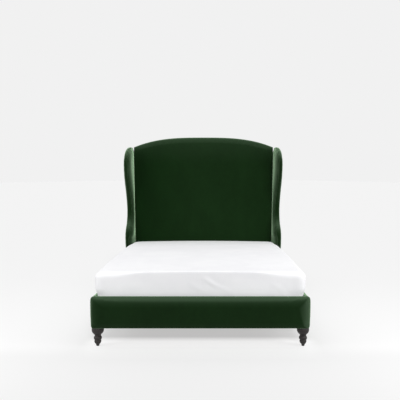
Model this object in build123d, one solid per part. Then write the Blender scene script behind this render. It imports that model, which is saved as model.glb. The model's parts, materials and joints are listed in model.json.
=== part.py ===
from build123d import *

import math
import os

# A king size wingback bed with an arched headboard, padded rails and turned legs.
# Millimetres, +Z up, the head towards +Y and the foot towards -Y.
# The origin lies on the floor, at the centre of the bed's plan.

# Mattress
mattress_width = 1500.0
mattress_length = 2000.0
mattress_thickness = 264.0
mattress_corner_radius = 90.0
mattress_edge_radius = 38.0
mattress_base_radius = 25.0
mattress_crown = 9.0
mattress_side_bulge = 7.0
ticking_thickness = 3.0
comfort_layer_thickness = 48.0
base_layer_thickness = 24.0
sheet_thickness = 1.2
sheet_hem_width = 70.0

# Clearances
soft_gap = 0.3
screw_clearance = 0.2
mattress_side_clearance = 3.0
mattress_foot_clearance = 8.0
mattress_head_clearance = 4.0
cut_overrun = 20.0

# Heights
leg_height = 136.0
rail_height = 227.0
mattress_recess = 76.0

# Padded rails
cover_thickness = 1.5
side_board_thickness = 20.0
side_foam_thickness = 13.2
foot_board_thickness = 25.0
foot_foam_thickness = 25.0
rail_board_edge = 12.0
rail_taper = 8.0
rail_edge_radius = 28.0
rail_corner_radius = 30.0

# Headboard
headboard_width = 1475.0
headboard_arch_width = 1517.4
headboard_height = 1657.0
headboard_arch_rise = 106.5
headboard_edge_radius = 24.0
soft_edge_steps = 5
headboard_foam_thickness = 51.0
headboard_panel_thickness = 9.0
headboard_frame_thickness = 36.0
headboard_frame_edge = 12.0
lining_thickness = 1.2
post_width = 60.0
headboard_rail_width = 90.0
middle_rail_height = 700.0
stile_width = 45.0
cross_rail_height = 150.0

# Wings
wing_outer_back = 814.0
wing_outer_front = 829.0
wing_inner_front = 770.0
wing_inner_waist = 757.5
wing_waist_depth = 90.0
wing_depth = 262.0
wing_height = 1546.0
wing_nose_radius = 27.0
wing_core_thickness = 18.0
wing_nose_foam = 26.0
wing_core_back = 779.0
wing_core_front = 791.0
wing_batten_depth = 70.0
wing_batten_height = 1250.0
wing_bolt_heights = (290.0, 850.0, 1330.0)

# Turned legs
leg_radius = 43.5
leg_top_radius = 41.0
leg_shoulder_radius = 33.0
leg_neck_radius = 23.0
leg_ring_radius = 29.0
leg_bulb_radius = 25.0
leg_ankle_radius = 13.5
leg_foot_radius = 11.0
glide_radius = 10.0
glide_height = 5.0
glide_stem_radius = 3.0
glide_stem_length = 14.0
leg_hollow_depth = 1.5
leg_bolt_edge = 12.5
leg_bolt_length = 62.0
leg_bolt_rise = 48.0

# Corner blocks
corner_block_size = 90.0
corner_block_height = 84.0
corner_bolt_radius = 4.0
corner_bolt_head_radius = 7.0
corner_bolt_head_height = 5.0
corner_bolt_bite = 14.0
insert_wall = 2.2
insert_length = 16.0

# Angle brackets at the head end
bracket_leg = 80.0
bracket_height = 60.0
bracket_thickness = 3.0
bracket_lift = 18.0
bracket_bolt_length = 14.0

# Slat base
slat_count = 14
slat_width = 68.0
slat_thickness = 10.0
slat_bow = 8.0
slat_end_margin = 62.0
ledger_width = 22.0
ledger_height = 40.0
ledger_screw_count = 7
ledger_screw_radius = 2.5
ledger_screw_head_radius = 4.6
ledger_screw_head_height = 2.6
ledger_screw_bite = 14.0
cap_wall = 3.0
cap_grip = 30.0
cap_peg_radius = 4.0
cap_peg_length = 10.0
beam_width = 46.0
beam_height = 70.0
hanger_thickness = 2.5
hanger_depth = 40.0
hanger_ear = 26.0
hanger_screw_length = 18.0

# Centre legs
centre_leg_share = 0.5
centre_leg_width = 42.0
centre_foot_radius = 22.0
centre_foot_height = 9.0
centre_stud_radius = 4.0
centre_stud_engagement = 26.0
centre_foot_travel = 12.0
centre_bolt_length = 34.0

# Places worked out from the sizes above
sheet_allowance = soft_gap + sheet_thickness
cover_allowance = soft_gap + cover_thickness
screw_hole_radius = ledger_screw_radius + screw_clearance
bolt_hole_radius = corner_bolt_radius + screw_clearance
foot_rail_thickness = foot_board_thickness + foot_foam_thickness + cover_allowance
side_rail_thickness = side_board_thickness + side_foam_thickness + cover_allowance
headboard_thickness = (
    cover_allowance
    + headboard_foam_thickness
    + headboard_panel_thickness
    + headboard_frame_thickness
    + lining_thickness
)
bed_length = (
    foot_rail_thickness
    + mattress_foot_clearance
    + mattress_length
    + 2 * sheet_allowance
    + mattress_head_clearance
    + headboard_thickness
)

y_foot = -bed_length / 2
y_board = y_foot + foot_rail_thickness
y_head = bed_length / 2
y_panel = y_head - headboard_thickness
y_mattress = (y_board + mattress_foot_clearance + y_panel - mattress_head_clearance) / 2
y_frame_back = y_head - lining_thickness
y_frame_front = y_frame_back - headboard_frame_thickness
y_core_front = y_frame_front - headboard_panel_thickness

z_rail_bottom = leg_height
z_rail_top = leg_height + rail_height
z_mattress = z_rail_top - mattress_recess
z_flare = z_mattress + mattress_thickness
z_slat_top = z_mattress - sheet_allowance - soft_gap - slat_bow
z_slat_bottom = z_slat_top - slat_thickness
z_ledger = z_slat_bottom - cap_wall
z_beam_bottom = z_ledger - beam_height
z_cross_rail = z_rail_bottom + cross_rail_height
z_board_bottom = z_rail_bottom + cover_allowance
z_board_top = z_rail_top - rail_board_edge

x_rail_inner = mattress_width / 2 + sheet_allowance + mattress_side_clearance
x_rail_outer = x_rail_inner + side_rail_thickness
x_board_outer = x_rail_inner + side_board_thickness
x_headboard = headboard_width / 2
x_arch = headboard_arch_width / 2
x_post_outer = x_headboard - cover_allowance
x_post_inner = x_post_outer - post_width
x_wing_inner = x_headboard + soft_gap
x_leg_front = x_rail_inner - leg_bolt_edge
y_leg_front = y_board + leg_bolt_edge
x_leg_rear = (x_post_outer + x_post_inner) / 2
y_leg_rear = (y_panel + y_core_front) / 2
centre_stud_length = centre_stud_engagement + centre_foot_travel
centre_leg_rear_y = y_board + (y_panel - y_board) * (1 + centre_leg_share) / 2
centre_leg_front_y = y_board + (y_panel - y_board) * (1 - centre_leg_share) / 2

# Shape of the crowned rails: share of the height, share of the taper drawn in
rail_crown_shares = ((0.0, 1.0), (0.25, 0.5), (0.5, 0.18))

# Shape of the mattress side: share of the height, share of the bulge drawn in
mattress_side_shares = ((0.0, 1.0), (0.33, 0.14), (0.67, 0.0), (1.0, 0.8))

# Front line of a wing: share of its depth, share of its height above the rail
wing_front_shares = (
    (0.44, 0.0),
    (0.61, 0.114),
    (0.668, 0.198),
    (0.60, 0.265),
    (0.382, 0.328),
    (0.275, 0.395),
    (0.382, 0.517),
    (0.763, 0.676),
    (1.0, 0.827),
    (0.908, 0.915),
    (0.573, 0.978),
    (0.0, 1.0),
)

# Heights along a turned leg, as shares of its height
leg_widest_share = 0.824
leg_shoulder_share = 0.663
leg_upper_neck_share = 0.575
leg_ring_top_share = 0.53
leg_ring_share = 0.423
leg_ring_low_share = 0.325
leg_bulb_share = 0.25
leg_ankle_share = 0.105

# Places of the bolts, as shares of the corner block or bracket that they pass through
corner_bolt_shares = (0.28, 0.72)
corner_bolt_side_share = 0.7
corner_bolt_front_share = 0.3
side_bolt_step_share = 0.14
bracket_bolt_share = 0.6
bracket_bolt_shares = (0.25, 0.75)

# Points along the headboard's arch, as shares of its half width
arch_shares = (-1.0, -0.8, -0.6, -0.4, -0.2, 0.0, 0.2, 0.4, 0.6, 0.8, 1.0)
arch_power = 3


def block(x_from, x_to, y_from, y_to, z_from, z_to):
    """A square-edged block between two opposite corners."""
    place = Pos((x_from + x_to) / 2, (y_from + y_to) / 2, (z_from + z_to) / 2)
    return place * Box(x_to - x_from, y_to - y_from, z_to - z_from)


def rod_x(x_from, x_to, y, z, radius):
    """A round rod along X."""
    return Pos((x_from + x_to) / 2, y, z) * Rot(0, 90, 0) * Cylinder(radius, x_to - x_from)


def rod_y(x, y_from, y_to, z, radius):
    """A round rod along Y."""
    return Pos(x, (y_from + y_to) / 2, z) * Rot(90, 0, 0) * Cylinder(radius, y_to - y_from)


def rod_z(x, y, z_from, z_to, radius):
    """A round rod along Z."""
    return Pos(x, y, (z_from + z_to) / 2) * Cylinder(radius, z_to - z_from)


def mirrored(shape):
    """The same piece on the bed's other side."""
    return mirror(shape, about=Plane.YZ)


def group(solids):
    """Loose pieces of one kind, kept as separate solids."""
    return Compound(children=[piece.solid() for piece in solids])


def save(name, shape):
    """Write one named piece."""
    export_step(shape, f"parts/{name}.step")


# Mattress and fitted sheet


def mattress_body(inset):
    """The crowned mattress form, drawn in all round by the inset."""
    width = mattress_width - 2 * inset
    length = mattress_length - 2 * inset
    height = mattress_thickness - 2 * inset
    radius = mattress_corner_radius - inset
    sections = []
    for height_share, bulge_share in mattress_side_shares:
        drawn_in = 2 * mattress_side_bulge * bulge_share
        outline = RectangleRounded(width - drawn_in, length - drawn_in, radius)
        sections.append(Plane.XY.offset(inset + height * height_share) * outline)
    body = loft(sections)
    crown_radius = (mattress_width / 2) ** 2 / (2 * mattress_crown)
    body = body & (Pos(0, 0, mattress_thickness - inset - crown_radius) * Sphere(crown_radius))
    top_edges = body.edges().filter_by(lambda edge: is_top_edge(edge, inset))
    body = fillet(top_edges, mattress_edge_radius - inset)
    body = fillet(body.edges().group_by(Axis.Z)[0], mattress_base_radius - inset)
    return Pos(0, y_mattress, z_mattress) * body


def is_top_edge(edge, inset):
    """True for the edges around the crowned top."""
    box = edge.bounding_box()
    rise = box.max.Z - box.min.Z
    near_top = edge.center().Z > mattress_thickness / 2
    return near_top and rise < 4 * mattress_crown + inset


def make_mattress():
    """Ticking around a base layer, a spring unit and a comfort layer."""
    outer = mattress_body(0)
    inner = mattress_body(ticking_thickness)
    filling = mattress_body(ticking_thickness + soft_gap)
    half_width = mattress_width
    y_from = y_mattress - mattress_length
    y_to = y_mattress + mattress_length
    z_base = z_mattress + ticking_thickness + base_layer_thickness
    z_comfort = z_mattress + mattress_thickness - ticking_thickness - comfort_layer_thickness
    z_top = z_mattress + mattress_thickness
    save("mattress_ticking", outer - inner)
    save("mattress_base_layer", filling & block(-half_width, half_width, y_from, y_to, z_mattress, z_base))
    save("mattress_spring_unit", filling & block(-half_width, half_width, y_from, y_to, z_base, z_comfort))
    save("mattress_comfort_layer", filling & block(-half_width, half_width, y_from, y_to, z_comfort, z_top))


def make_sheet():
    """The fitted sheet, open underneath inside its gathered hem."""
    outer = mattress_body(-sheet_allowance)
    inner = mattress_body(-soft_gap)
    half_width = mattress_width / 2 - sheet_hem_width
    half_length = mattress_length / 2 - sheet_hem_width
    opening = block(
        -half_width,
        half_width,
        y_mattress - half_length,
        y_mattress + half_length,
        z_mattress - cut_overrun,
        z_mattress + mattress_thickness / 2,
    )
    save("fitted_sheet", outer - inner - opening)


# Padded rails


def rail_profile(inset, inner, outer):
    """The crowned section of a rail, from its inner plane out to its padded face."""
    z_low = z_rail_bottom + inset
    z_high = z_rail_top - inset
    height = z_high - z_low
    bulge = []
    for height_share, taper_share in rail_crown_shares:
        bulge.append((outer - inset - rail_taper * taper_share, z_low + height * height_share))
    radius = rail_edge_radius - inset
    middle = radius * (1 - math.sqrt(2) / 2)
    reach = outer - inset
    side = Spline(*bulge, (reach, z_high - radius))
    edge = ThreePointArc(
        (reach, z_high - radius),
        (reach - middle, z_high - middle),
        (reach - radius, z_high),
    )
    rest = Polyline((reach - radius, z_high), (inner, z_high), (inner, z_low), bulge[0])
    return side + edge + rest


def foot_envelope(inset, back):
    """The crowned form of the foot rail, drawn in by the inset, out to its back plane."""
    half_width = x_rail_outer - inset
    across = Plane(origin=(0, 0, 0), x_dir=(0, -1, 0), z_dir=(-1, 0, 0))
    front = extrude(make_face(across * rail_profile(inset, -back, -y_foot)), half_width, both=True)
    end = make_face(Plane.XZ * rail_profile(inset, 0, x_rail_outer))
    right = extrude(Pos(0, y_foot, 0) * end, back - y_foot, dir=(0, 1, 0))
    outline = Rectangle(2 * half_width, back - y_foot - inset)
    outline = fillet(outline.vertices().group_by(Axis.Y)[0], rail_corner_radius - inset)
    plan = extrude(Pos(0, (back + y_foot + inset) / 2, 0) * outline, z_rail_top, dir=(0, 0, 1))
    return front & (right + mirrored(right)) & plan


def make_foot_rail():
    """Board, foam and velvet cover of the foot rail."""
    cover = foot_envelope(0, y_board) - foot_envelope(cover_thickness, y_board + cut_overrun)
    half_board = x_rail_outer - cover_allowance - rail_taper - rail_corner_radius / 2
    y_front = y_board - foot_board_thickness
    board = block(-half_board, half_board, y_front, y_board, z_board_bottom, z_board_top)
    foam = foot_envelope(cover_allowance, y_board) - board
    for place in corner_bolt_places():
        board = board - rod_y(place[0], y_board - insert_length, y_board, place[1], insert_radius())
    for x, z in hanger_screw_places():
        board = board - rod_y(x, y_board - hanger_screw_length, y_board, z, screw_hole_radius)
    save("foot_rail_cover", cover)
    save("foot_rail_foam", foam)
    save("foot_rail_board", board)


def side_envelope(inset, x_inner):
    """The side rail's crowned form, from the foot rail to the wing."""
    face = make_face(Plane.XZ * rail_profile(inset, x_inner, x_rail_outer))
    start = y_board + soft_gap + inset
    stop = y_panel - soft_gap - inset
    return extrude(Pos(0, start, 0) * face, stop - start, dir=(0, 1, 0))


def make_side_rail(side, turn):
    """Board, foam and velvet cover of one side rail."""
    cover = side_envelope(0, x_rail_inner) - side_envelope(cover_thickness, x_rail_inner - cut_overrun)
    y_from = y_board + cover_allowance + soft_gap
    y_to = y_panel - cover_allowance - soft_gap
    board = block(x_rail_inner, x_board_outer, y_from, y_to, z_board_bottom, z_board_top)
    foam = side_envelope(cover_allowance, x_rail_inner) - board
    for y, z in side_bolt_places():
        board = board - rod_x(x_rail_inner, x_rail_inner + insert_length, y, z, insert_radius())
    for y in ledger_screw_places():
        board = board - ledger_screw_hole(y)
    save(f"{side}_rail_cover", turn(cover))
    save(f"{side}_rail_foam", turn(foam))
    save(f"{side}_rail_board", turn(board))


# Headboard


def arch_height(x, half_width, top):
    """Height of the arch over a place across the headboard."""
    return top - headboard_arch_rise * abs(x / half_width) ** arch_power


def arch_face(inset, bottom):
    """The headboard's outline with its arched top, drawn in by the inset."""
    half_width = x_headboard - inset
    half_arch = x_arch - inset
    top = headboard_height - inset
    points = []
    for share in arch_shares:
        points.append((half_arch * share, arch_height(half_arch * share, x_arch, top)))
    sides = Polyline(
        points[-1],
        (half_width, z_flare),
        (half_width, bottom),
        (-half_width, bottom),
        (-half_width, z_flare),
        points[0],
    )
    return make_face(Plane.XZ * (Spline(*points) + sides))


def flare_wedge(inset):
    """What the headboard's side, leaning outwards above the mattress, takes from a wing."""
    x_low = x_wing_inner + inset
    z_high = wing_height + cut_overrun
    lean = (x_arch - x_headboard) / (headboard_height - headboard_arch_rise - z_flare)
    x_high = x_low + lean * (z_high - z_flare)
    x_from = x_low - cut_overrun
    corners = [(x_low, z_flare), (x_high, z_high), (x_from, z_high), (x_from, z_flare)]
    outline = Polyline(*corners, corners[0])
    y_from = y_panel - wing_depth - cut_overrun
    face = Pos(0, y_from, 0) * make_face(Plane.XZ * outline)
    return extrude(face, y_head + cut_overrun - y_from, dir=(0, 1, 0))


def arch_slab(inset, bottom, y_from, y_to):
    """A slab of the headboard's outline between two planes."""
    return extrude(Pos(0, y_from, 0) * arch_face(inset, bottom), y_to - y_from, dir=(0, 1, 0))


def soft_slab(inset, bottom, y_from, y_to):
    """The same slab with its front edges rounded in short steps."""
    radius = headboard_edge_radius - inset
    sections = []
    for step in range(soft_edge_steps + 1):
        angle = math.pi / 2 * step / soft_edge_steps
        drawn_in = radius * (1 - math.sin(angle))
        y = y_from + radius * (1 - math.cos(angle))
        sections.append(Pos(0, y, 0) * arch_face(inset + drawn_in, bottom))
    sections.append(Pos(0, y_to, 0) * arch_face(inset, bottom))
    return loft(sections, ruled=True)


def make_headboard_upholstery():
    """Foam pad, velvet front cover and back lining."""
    z_pad = z_cross_rail + soft_gap
    outer = soft_slab(0, z_pad, y_panel, y_frame_back)
    inner = soft_slab(cover_thickness, z_pad - cut_overrun, y_panel + cover_thickness, y_head + cut_overrun)
    cover = outer - inner
    pad = soft_slab(cover_allowance, z_pad, y_panel + cover_allowance, y_frame_back)
    core = arch_slab(headboard_frame_edge, z_rail_bottom, y_core_front, y_head)
    posts = headboard_post() + mirrored(headboard_post())
    for hole in wing_bolt_holes():
        cover = cover - hole - mirrored(hole)
    save("headboard_cover", cover)
    save("headboard_foam", pad - core - posts)
    save("headboard_lining", arch_slab(0, z_rail_bottom, y_frame_back, y_head))


def headboard_post():
    """The post on the right, under the arch, without its holes."""
    z_top = headboard_height - headboard_arch_rise - headboard_frame_edge
    post = block(x_post_inner, x_arch, y_frame_front, y_frame_back, z_rail_bottom, z_top)
    return post & arch_slab(cover_allowance, z_rail_bottom, y_frame_front, y_frame_back)


def make_headboard_frame():
    """Posts, rails, stiles and plywood panel."""
    post = headboard_post()
    for hole in wing_bolt_holes():
        post = post - hole
    save("headboard_left_post", mirrored(post))
    save("headboard_right_post", post)
    y_from = y_frame_front
    y_to = y_frame_back
    z_bottom_top = z_rail_bottom + headboard_rail_width
    bottom_rail = block(-x_post_inner, x_post_inner, y_from, y_to, z_rail_bottom, z_bottom_top)
    save("headboard_bottom_rail", bottom_rail)
    z_middle_top = middle_rail_height + headboard_rail_width
    middle_rail = block(-x_post_inner, x_post_inner, y_from, y_to, middle_rail_height, z_middle_top)
    save("headboard_middle_rail", middle_rail)
    z_top_rail = headboard_height - headboard_arch_rise - headboard_rail_width - headboard_frame_edge
    band = block(-x_post_inner, x_post_inner, y_from, y_to, z_top_rail, headboard_height)
    save("headboard_top_rail", band & arch_slab(headboard_frame_edge, z_rail_bottom, y_from, y_to))
    lower = block(-stile_width / 2, stile_width / 2, y_from, y_to, z_bottom_top, middle_rail_height)
    upper = block(-stile_width / 2, stile_width / 2, y_from, y_to, z_middle_top, z_top_rail)
    save("headboard_stiles", group([lower, upper]))
    panel = arch_slab(headboard_frame_edge, z_rail_bottom, y_core_front, y_frame_front)
    save("headboard_panel", panel)


def make_cross_rail():
    """The head end's cross rail, in front of the plywood panel, that carries the base."""
    rail = block(-x_post_outer, x_post_outer, y_panel, y_core_front, z_rail_bottom, z_cross_rail)
    rail = rail - leg_bolt_hole(x_leg_rear, y_leg_rear) - leg_bolt_hole(-x_leg_rear, y_leg_rear)
    for x, z in cross_bolt_places():
        rail = rail - rod_y(x, y_panel, y_panel + insert_length, z, insert_radius())
        rail = rail - rod_y(-x, y_panel, y_panel + insert_length, z, insert_radius())
    for x, z in hanger_screw_places():
        rail = rail - rod_y(x, y_panel, y_panel + hanger_screw_length, z, screw_hole_radius)
    save("head_cross_rail", rail)


# Wings


def wing_plan(inset):
    """A wing's plan: a hollow inner face and a straight, splayed outer face."""
    x_in = x_wing_inner + inset
    reach = y_panel - wing_depth
    slope = (wing_outer_front - wing_outer_back) / (wing_depth + headboard_thickness)
    x_out_back = wing_outer_back - inset
    x_out_front = wing_outer_front - inset + slope * cut_overrun
    y_tip = reach - cut_overrun
    tip_slope = (wing_inner_front - wing_inner_waist) / (wing_depth - wing_waist_depth)
    x_tip = wing_inner_front + inset + tip_slope * cut_overrun
    hollow = ThreePointArc(
        (x_in, y_panel),
        (wing_inner_waist + inset, y_panel - wing_waist_depth),
        (x_tip, y_tip),
    )
    rest = Polyline(
        (x_tip, y_tip),
        (x_out_front, y_tip),
        (x_out_back, y_frame_back - inset),
        (x_in, y_frame_back - inset),
        (x_in, y_panel),
    )
    return make_face(hollow + rest)


def wing_profile(inset, nose):
    """A wing's side view: the curved front line, and the foot beside the headboard."""
    z_seat = z_rail_top + soft_gap + inset
    z_low = z_rail_bottom + inset
    z_high = wing_height - inset
    y_back = y_frame_back - inset
    y_step = y_panel + inset
    points = []
    for depth_share, height_share in wing_front_shares:
        reach = wing_depth * depth_share - nose
        points.append((y_panel - max(reach, 0), z_seat + (z_high - z_seat) * height_share))
    front = Spline(*points)
    rest = Polyline(
        points[-1],
        (y_back, z_high),
        (y_back, z_low),
        (y_step, z_low),
        (y_step, z_seat),
        points[0],
    )
    return make_face(Plane.YZ * (front + rest))


def wing_form(inset, radius):
    """A wing's padded form with its round nose, drawn in by the inset."""
    side = extrude(wing_profile(inset, inset), wing_outer_front + cut_overrun, dir=(1, 0, 0))
    plan = extrude(wing_plan(inset), wing_height + cut_overrun, dir=(0, 0, 1))
    body = side & plan
    nose = body.edges().filter_by(is_nose_edge)
    return fillet(nose, radius) - flare_wedge(inset)


def is_nose_edge(edge):
    """True for the long edges along a wing's curved front and its top."""
    box = edge.bounding_box()
    along_front = box.max.Z - box.min.Z > wing_height / 2 and box.min.Y < y_panel - wing_depth / 2
    along_top = box.min.Z > wing_height - cut_overrun and box.max.Y - box.min.Y > headboard_thickness / 2
    return along_front or along_top


def wing_core_form(inset):
    """The plywood core, splayed outwards from the headboard to the nose."""
    x_back = wing_core_back - (wing_core_front - wing_core_back) * headboard_thickness / wing_depth
    plan = Polyline(
        (x_back - inset, y_frame_back - wing_nose_foam / 2),
        (wing_core_front - inset, y_panel - wing_depth),
        (wing_core_front + wing_core_thickness + inset, y_panel - wing_depth),
        (x_back + wing_core_thickness + inset, y_frame_back - wing_nose_foam / 2),
        (x_back - inset, y_frame_back - wing_nose_foam / 2),
    )
    slab = extrude(make_face(plan), wing_height, dir=(0, 0, 1))
    side = extrude(wing_profile(wing_nose_foam / 2, wing_nose_foam), wing_outer_front, dir=(1, 0, 0))
    return slab & side


def wing_batten_form(x_inner):
    """The tapered batten between the headboard's side and the core."""
    y_from = y_frame_back - wing_nose_foam / 2 - wing_batten_depth
    y_to = y_frame_back - wing_nose_foam / 2
    z_low = z_rail_bottom + wing_nose_foam
    z_high = z_rail_bottom + wing_batten_height
    slab = block(x_inner, wing_core_front, y_from, y_to, z_low, z_high)
    x_back = wing_core_back - (wing_core_front - wing_core_back) * headboard_thickness / wing_depth
    beyond = Polyline(
        (x_back, y_frame_back - wing_nose_foam / 2),
        (wing_core_front, y_panel - wing_depth),
        (wing_outer_front, y_panel - wing_depth),
        (wing_outer_front, y_frame_back + cut_overrun),
        (x_back, y_frame_back + cut_overrun),
        (x_back, y_frame_back - wing_nose_foam / 2),
    )
    return slab - extrude(make_face(beyond), wing_height, dir=(0, 0, 1))


def wing_bolt_y():
    """The wing bolts run through the middle of the posts."""
    return y_frame_front + headboard_frame_thickness / 2


def wing_core_inner(y):
    """The core's inner face at a place along the bed."""
    share = (y_panel - y) / wing_depth
    return wing_core_back + (wing_core_front - wing_core_back) * share


def wing_bolt_holes():
    """Clearance holes for the bolts through post, cover, batten and core."""
    radius = bolt_hole_radius
    return [
        rod_x(x_post_inner - cut_overrun, wing_bolt_tip() + soft_gap, wing_bolt_y(), z, radius)
        for z in wing_bolt_heights
    ]


def wing_bolt_tip():
    """Where the wing bolts end, inside the inserts in the core."""
    return wing_core_inner(wing_bolt_y()) + insert_length - soft_gap


def make_wing(side, turn):
    """Core, foam and velvet cover of one wing."""
    core = wing_core_form(0)
    opening = wing_batten_form(x_headboard - cut_overrun)
    cover = wing_form(0, wing_nose_radius)
    cover = cover - wing_form(cover_thickness, wing_nose_radius - cover_thickness) - opening
    foam = wing_form(cover_allowance, wing_nose_radius - cover_allowance) - core - opening
    core_inner = wing_core_inner(wing_bolt_y())
    for z in wing_bolt_heights:
        x_from = core_inner - cut_overrun
        core = core - rod_x(x_from, core_inner + insert_length, wing_bolt_y(), z, insert_radius())
    save(f"{side}_wing_core", turn(core))
    save(f"{side}_wing_foam", turn(foam))
    save(f"{side}_wing_cover", turn(cover))


def make_wing_fixings():
    """The tapered battens and the bolts that hold both wings to the posts."""
    batten = wing_batten_form(x_headboard) - flare_wedge(-soft_gap)
    for hole in wing_bolt_holes():
        batten = batten - hole
    bolts = [bolt_x(x_post_inner, wing_bolt_tip(), wing_bolt_y(), z) for z in wing_bolt_heights]
    save("wing_battens", group([batten, mirrored(batten)]))
    save("wing_bolts", group(bolts + [mirrored(bolt) for bolt in bolts]))


def wing_insert(z):
    """A threaded insert in the wing's core, cut to the core's slanted face."""
    y = wing_bolt_y()
    core_inner = wing_core_inner(y)
    body = rod_x(core_inner, core_inner + insert_length, y, z, insert_radius())
    body = body & wing_core_form(0)
    return body - rod_x(core_inner - cut_overrun, core_inner + 2 * insert_length, y, z, bolt_hole_radius)


# Bolts and inserts


def insert_radius():
    """Outer radius of a threaded insert."""
    return bolt_hole_radius + insert_wall


def bolt_x(x_head, x_tip, y, z):
    """A bolt along +X whose head sits on the plane at x_head."""
    head = rod_x(x_head - corner_bolt_head_height, x_head, y, z, corner_bolt_head_radius)
    return head + rod_x(x_head - corner_bolt_head_height / 2, x_tip, y, z, corner_bolt_radius)


def bolt_y(x, y_head_plane, y_tip, z):
    """A bolt along Y whose head sits on the plane at y_head_plane."""
    sense = 1 if y_tip > y_head_plane else -1
    y_top = y_head_plane - sense * corner_bolt_head_height
    head = rod_y(x, min(y_top, y_head_plane), max(y_top, y_head_plane), z, corner_bolt_head_radius)
    y_mid = y_head_plane - sense * corner_bolt_head_height / 2
    return head + rod_y(x, min(y_mid, y_tip), max(y_mid, y_tip), z, corner_bolt_radius)


def insert_x(x_from, y, z):
    """A threaded insert along X."""
    body = rod_x(x_from, x_from + insert_length, y, z, insert_radius())
    return body - rod_x(x_from - cut_overrun, x_from + 2 * insert_length, y, z, bolt_hole_radius)


def insert_y(x, y_from, z):
    """A threaded insert along Y."""
    body = rod_y(x, y_from, y_from + insert_length, z, insert_radius())
    return body - rod_y(x, y_from - cut_overrun, y_from + 2 * insert_length, z, bolt_hole_radius)


def corner_block_bounds():
    """The right-hand corner block's corners in plan."""
    return x_rail_inner - corner_block_size, x_rail_inner, y_board, y_board + corner_block_size


def corner_bolt_heights():
    """Heights of the two bolts through each face of a corner block."""
    return [z_board_bottom + corner_block_height * share for share in corner_bolt_shares]


def corner_bolt_places():
    """Places (x, z) of the bolts into the foot board, on both sides."""
    x_low = corner_block_bounds()[0]
    x = x_low + corner_block_size * corner_bolt_front_share
    places = []
    for z in corner_bolt_heights():
        places.append((x, z))
        places.append((-x, z))
    return places


def side_bolt_places():
    """Places (y, z) of the inserts in a side board, foot end and head end."""
    y_foot_end = y_board + corner_block_size * corner_bolt_side_share
    places = []
    for z in corner_bolt_heights():
        places.append((y_foot_end, z + side_bolt_step()))
    for z in bracket_bolt_heights():
        places.append((y_panel - bracket_leg * bracket_bolt_share, z))
    return places


def side_bolt_step():
    """The side bolts lie a little lower than the front ones, so that they cross clear."""
    return -corner_block_height * side_bolt_step_share


def bracket_bolt_heights():
    """Heights of the two bolts through each leg of an angle bracket."""
    z_low = z_board_bottom + bracket_lift
    return [z_low + bracket_height * share for share in bracket_bolt_shares]


def cross_bolt_places():
    """Places (x, z) of the inserts in the head cross rail, on the right."""
    x = x_rail_inner - bracket_leg * bracket_bolt_share
    return [(x, z) for z in bracket_bolt_heights()]


def make_corner_blocks():
    """Timber blocks in the front corners, with their bolts and inserts."""
    x_low, x_high, y_low, y_high = corner_block_bounds()
    z_high = z_board_bottom + corner_block_height
    body = block(x_low, x_high, y_low, y_high, z_board_bottom, z_high)
    body = body - leg_bolt_hole(x_leg_front, y_leg_front)
    radius = bolt_hole_radius
    x_bolt = x_low + corner_block_size * corner_bolt_front_share
    y_bolt = y_low + corner_block_size * corner_bolt_side_share
    bolts = []
    for z in corner_bolt_heights():
        body = body - rod_y(x_bolt, y_low - cut_overrun, y_high + cut_overrun, z, radius)
        bolts.append(bolt_y(x_bolt, y_high, y_board - corner_bolt_bite, z))
        z_side = z + side_bolt_step()
        body = body - rod_x(x_low - cut_overrun, x_high + cut_overrun, y_bolt, z_side, radius)
        bolts.append(bolt_x(x_low, x_rail_inner + corner_bolt_bite, y_bolt, z_side))
    save("corner_block_right", body)
    save("corner_block_left", mirrored(body))
    save("corner_bolts", group(bolts + [mirrored(bolt) for bolt in bolts]))


def make_brackets():
    """Steel angle brackets between the side rails and the head cross rail."""
    z_low = z_board_bottom + bracket_lift
    z_high = z_low + bracket_height
    along = block(
        x_rail_inner - bracket_thickness, x_rail_inner, y_panel - bracket_leg, y_panel, z_low, z_high
    )
    x_from = x_rail_inner - bracket_leg
    across = block(x_from, x_rail_inner, y_panel - bracket_thickness, y_panel, z_low, z_high)
    body = along + across
    bolts = []
    y_bolt = y_panel - bracket_leg * bracket_bolt_share
    x_bolt = x_rail_inner - bracket_leg * bracket_bolt_share
    radius = bolt_hole_radius
    for z in bracket_bolt_heights():
        body = body - rod_x(x_rail_inner - cut_overrun, x_rail_inner + cut_overrun, y_bolt, z, radius)
        body = body - rod_y(x_bolt, y_panel - cut_overrun, y_panel + cut_overrun, z, radius)
        x_head = x_rail_inner - bracket_thickness
        bolts.append(bolt_x(x_head, x_rail_inner + bracket_bolt_length, y_bolt, z))
        bolts.append(bolt_y(x_bolt, y_panel - bracket_thickness, y_panel + bracket_bolt_length, z))
    save("angle_brackets", group([body, mirrored(body)]))
    save("bracket_bolts", group(bolts + [mirrored(bolt) for bolt in bolts]))


def make_inserts():
    """The threaded inserts that take the corner, bracket and wing bolts."""
    inserts = [insert_x(x_rail_inner, y, z) for y, z in side_bolt_places()]
    inserts += [insert_y(x, y_panel, z) for x, z in cross_bolt_places()]
    inserts += [wing_insert(z) for z in wing_bolt_heights]
    pairs = inserts + [mirrored(insert) for insert in inserts]
    pairs += [insert_y(x, y_board - insert_length, z) for x, z in corner_bolt_places()]
    save("threaded_inserts", group(pairs))


# Turned legs


def leg_bolt_hole(x, y):
    """The hole above a leg that takes its hanger bolt."""
    radius = bolt_hole_radius
    return rod_z(x, y, z_rail_bottom - cut_overrun, z_rail_bottom + leg_bolt_rise + soft_gap, radius)


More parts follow.
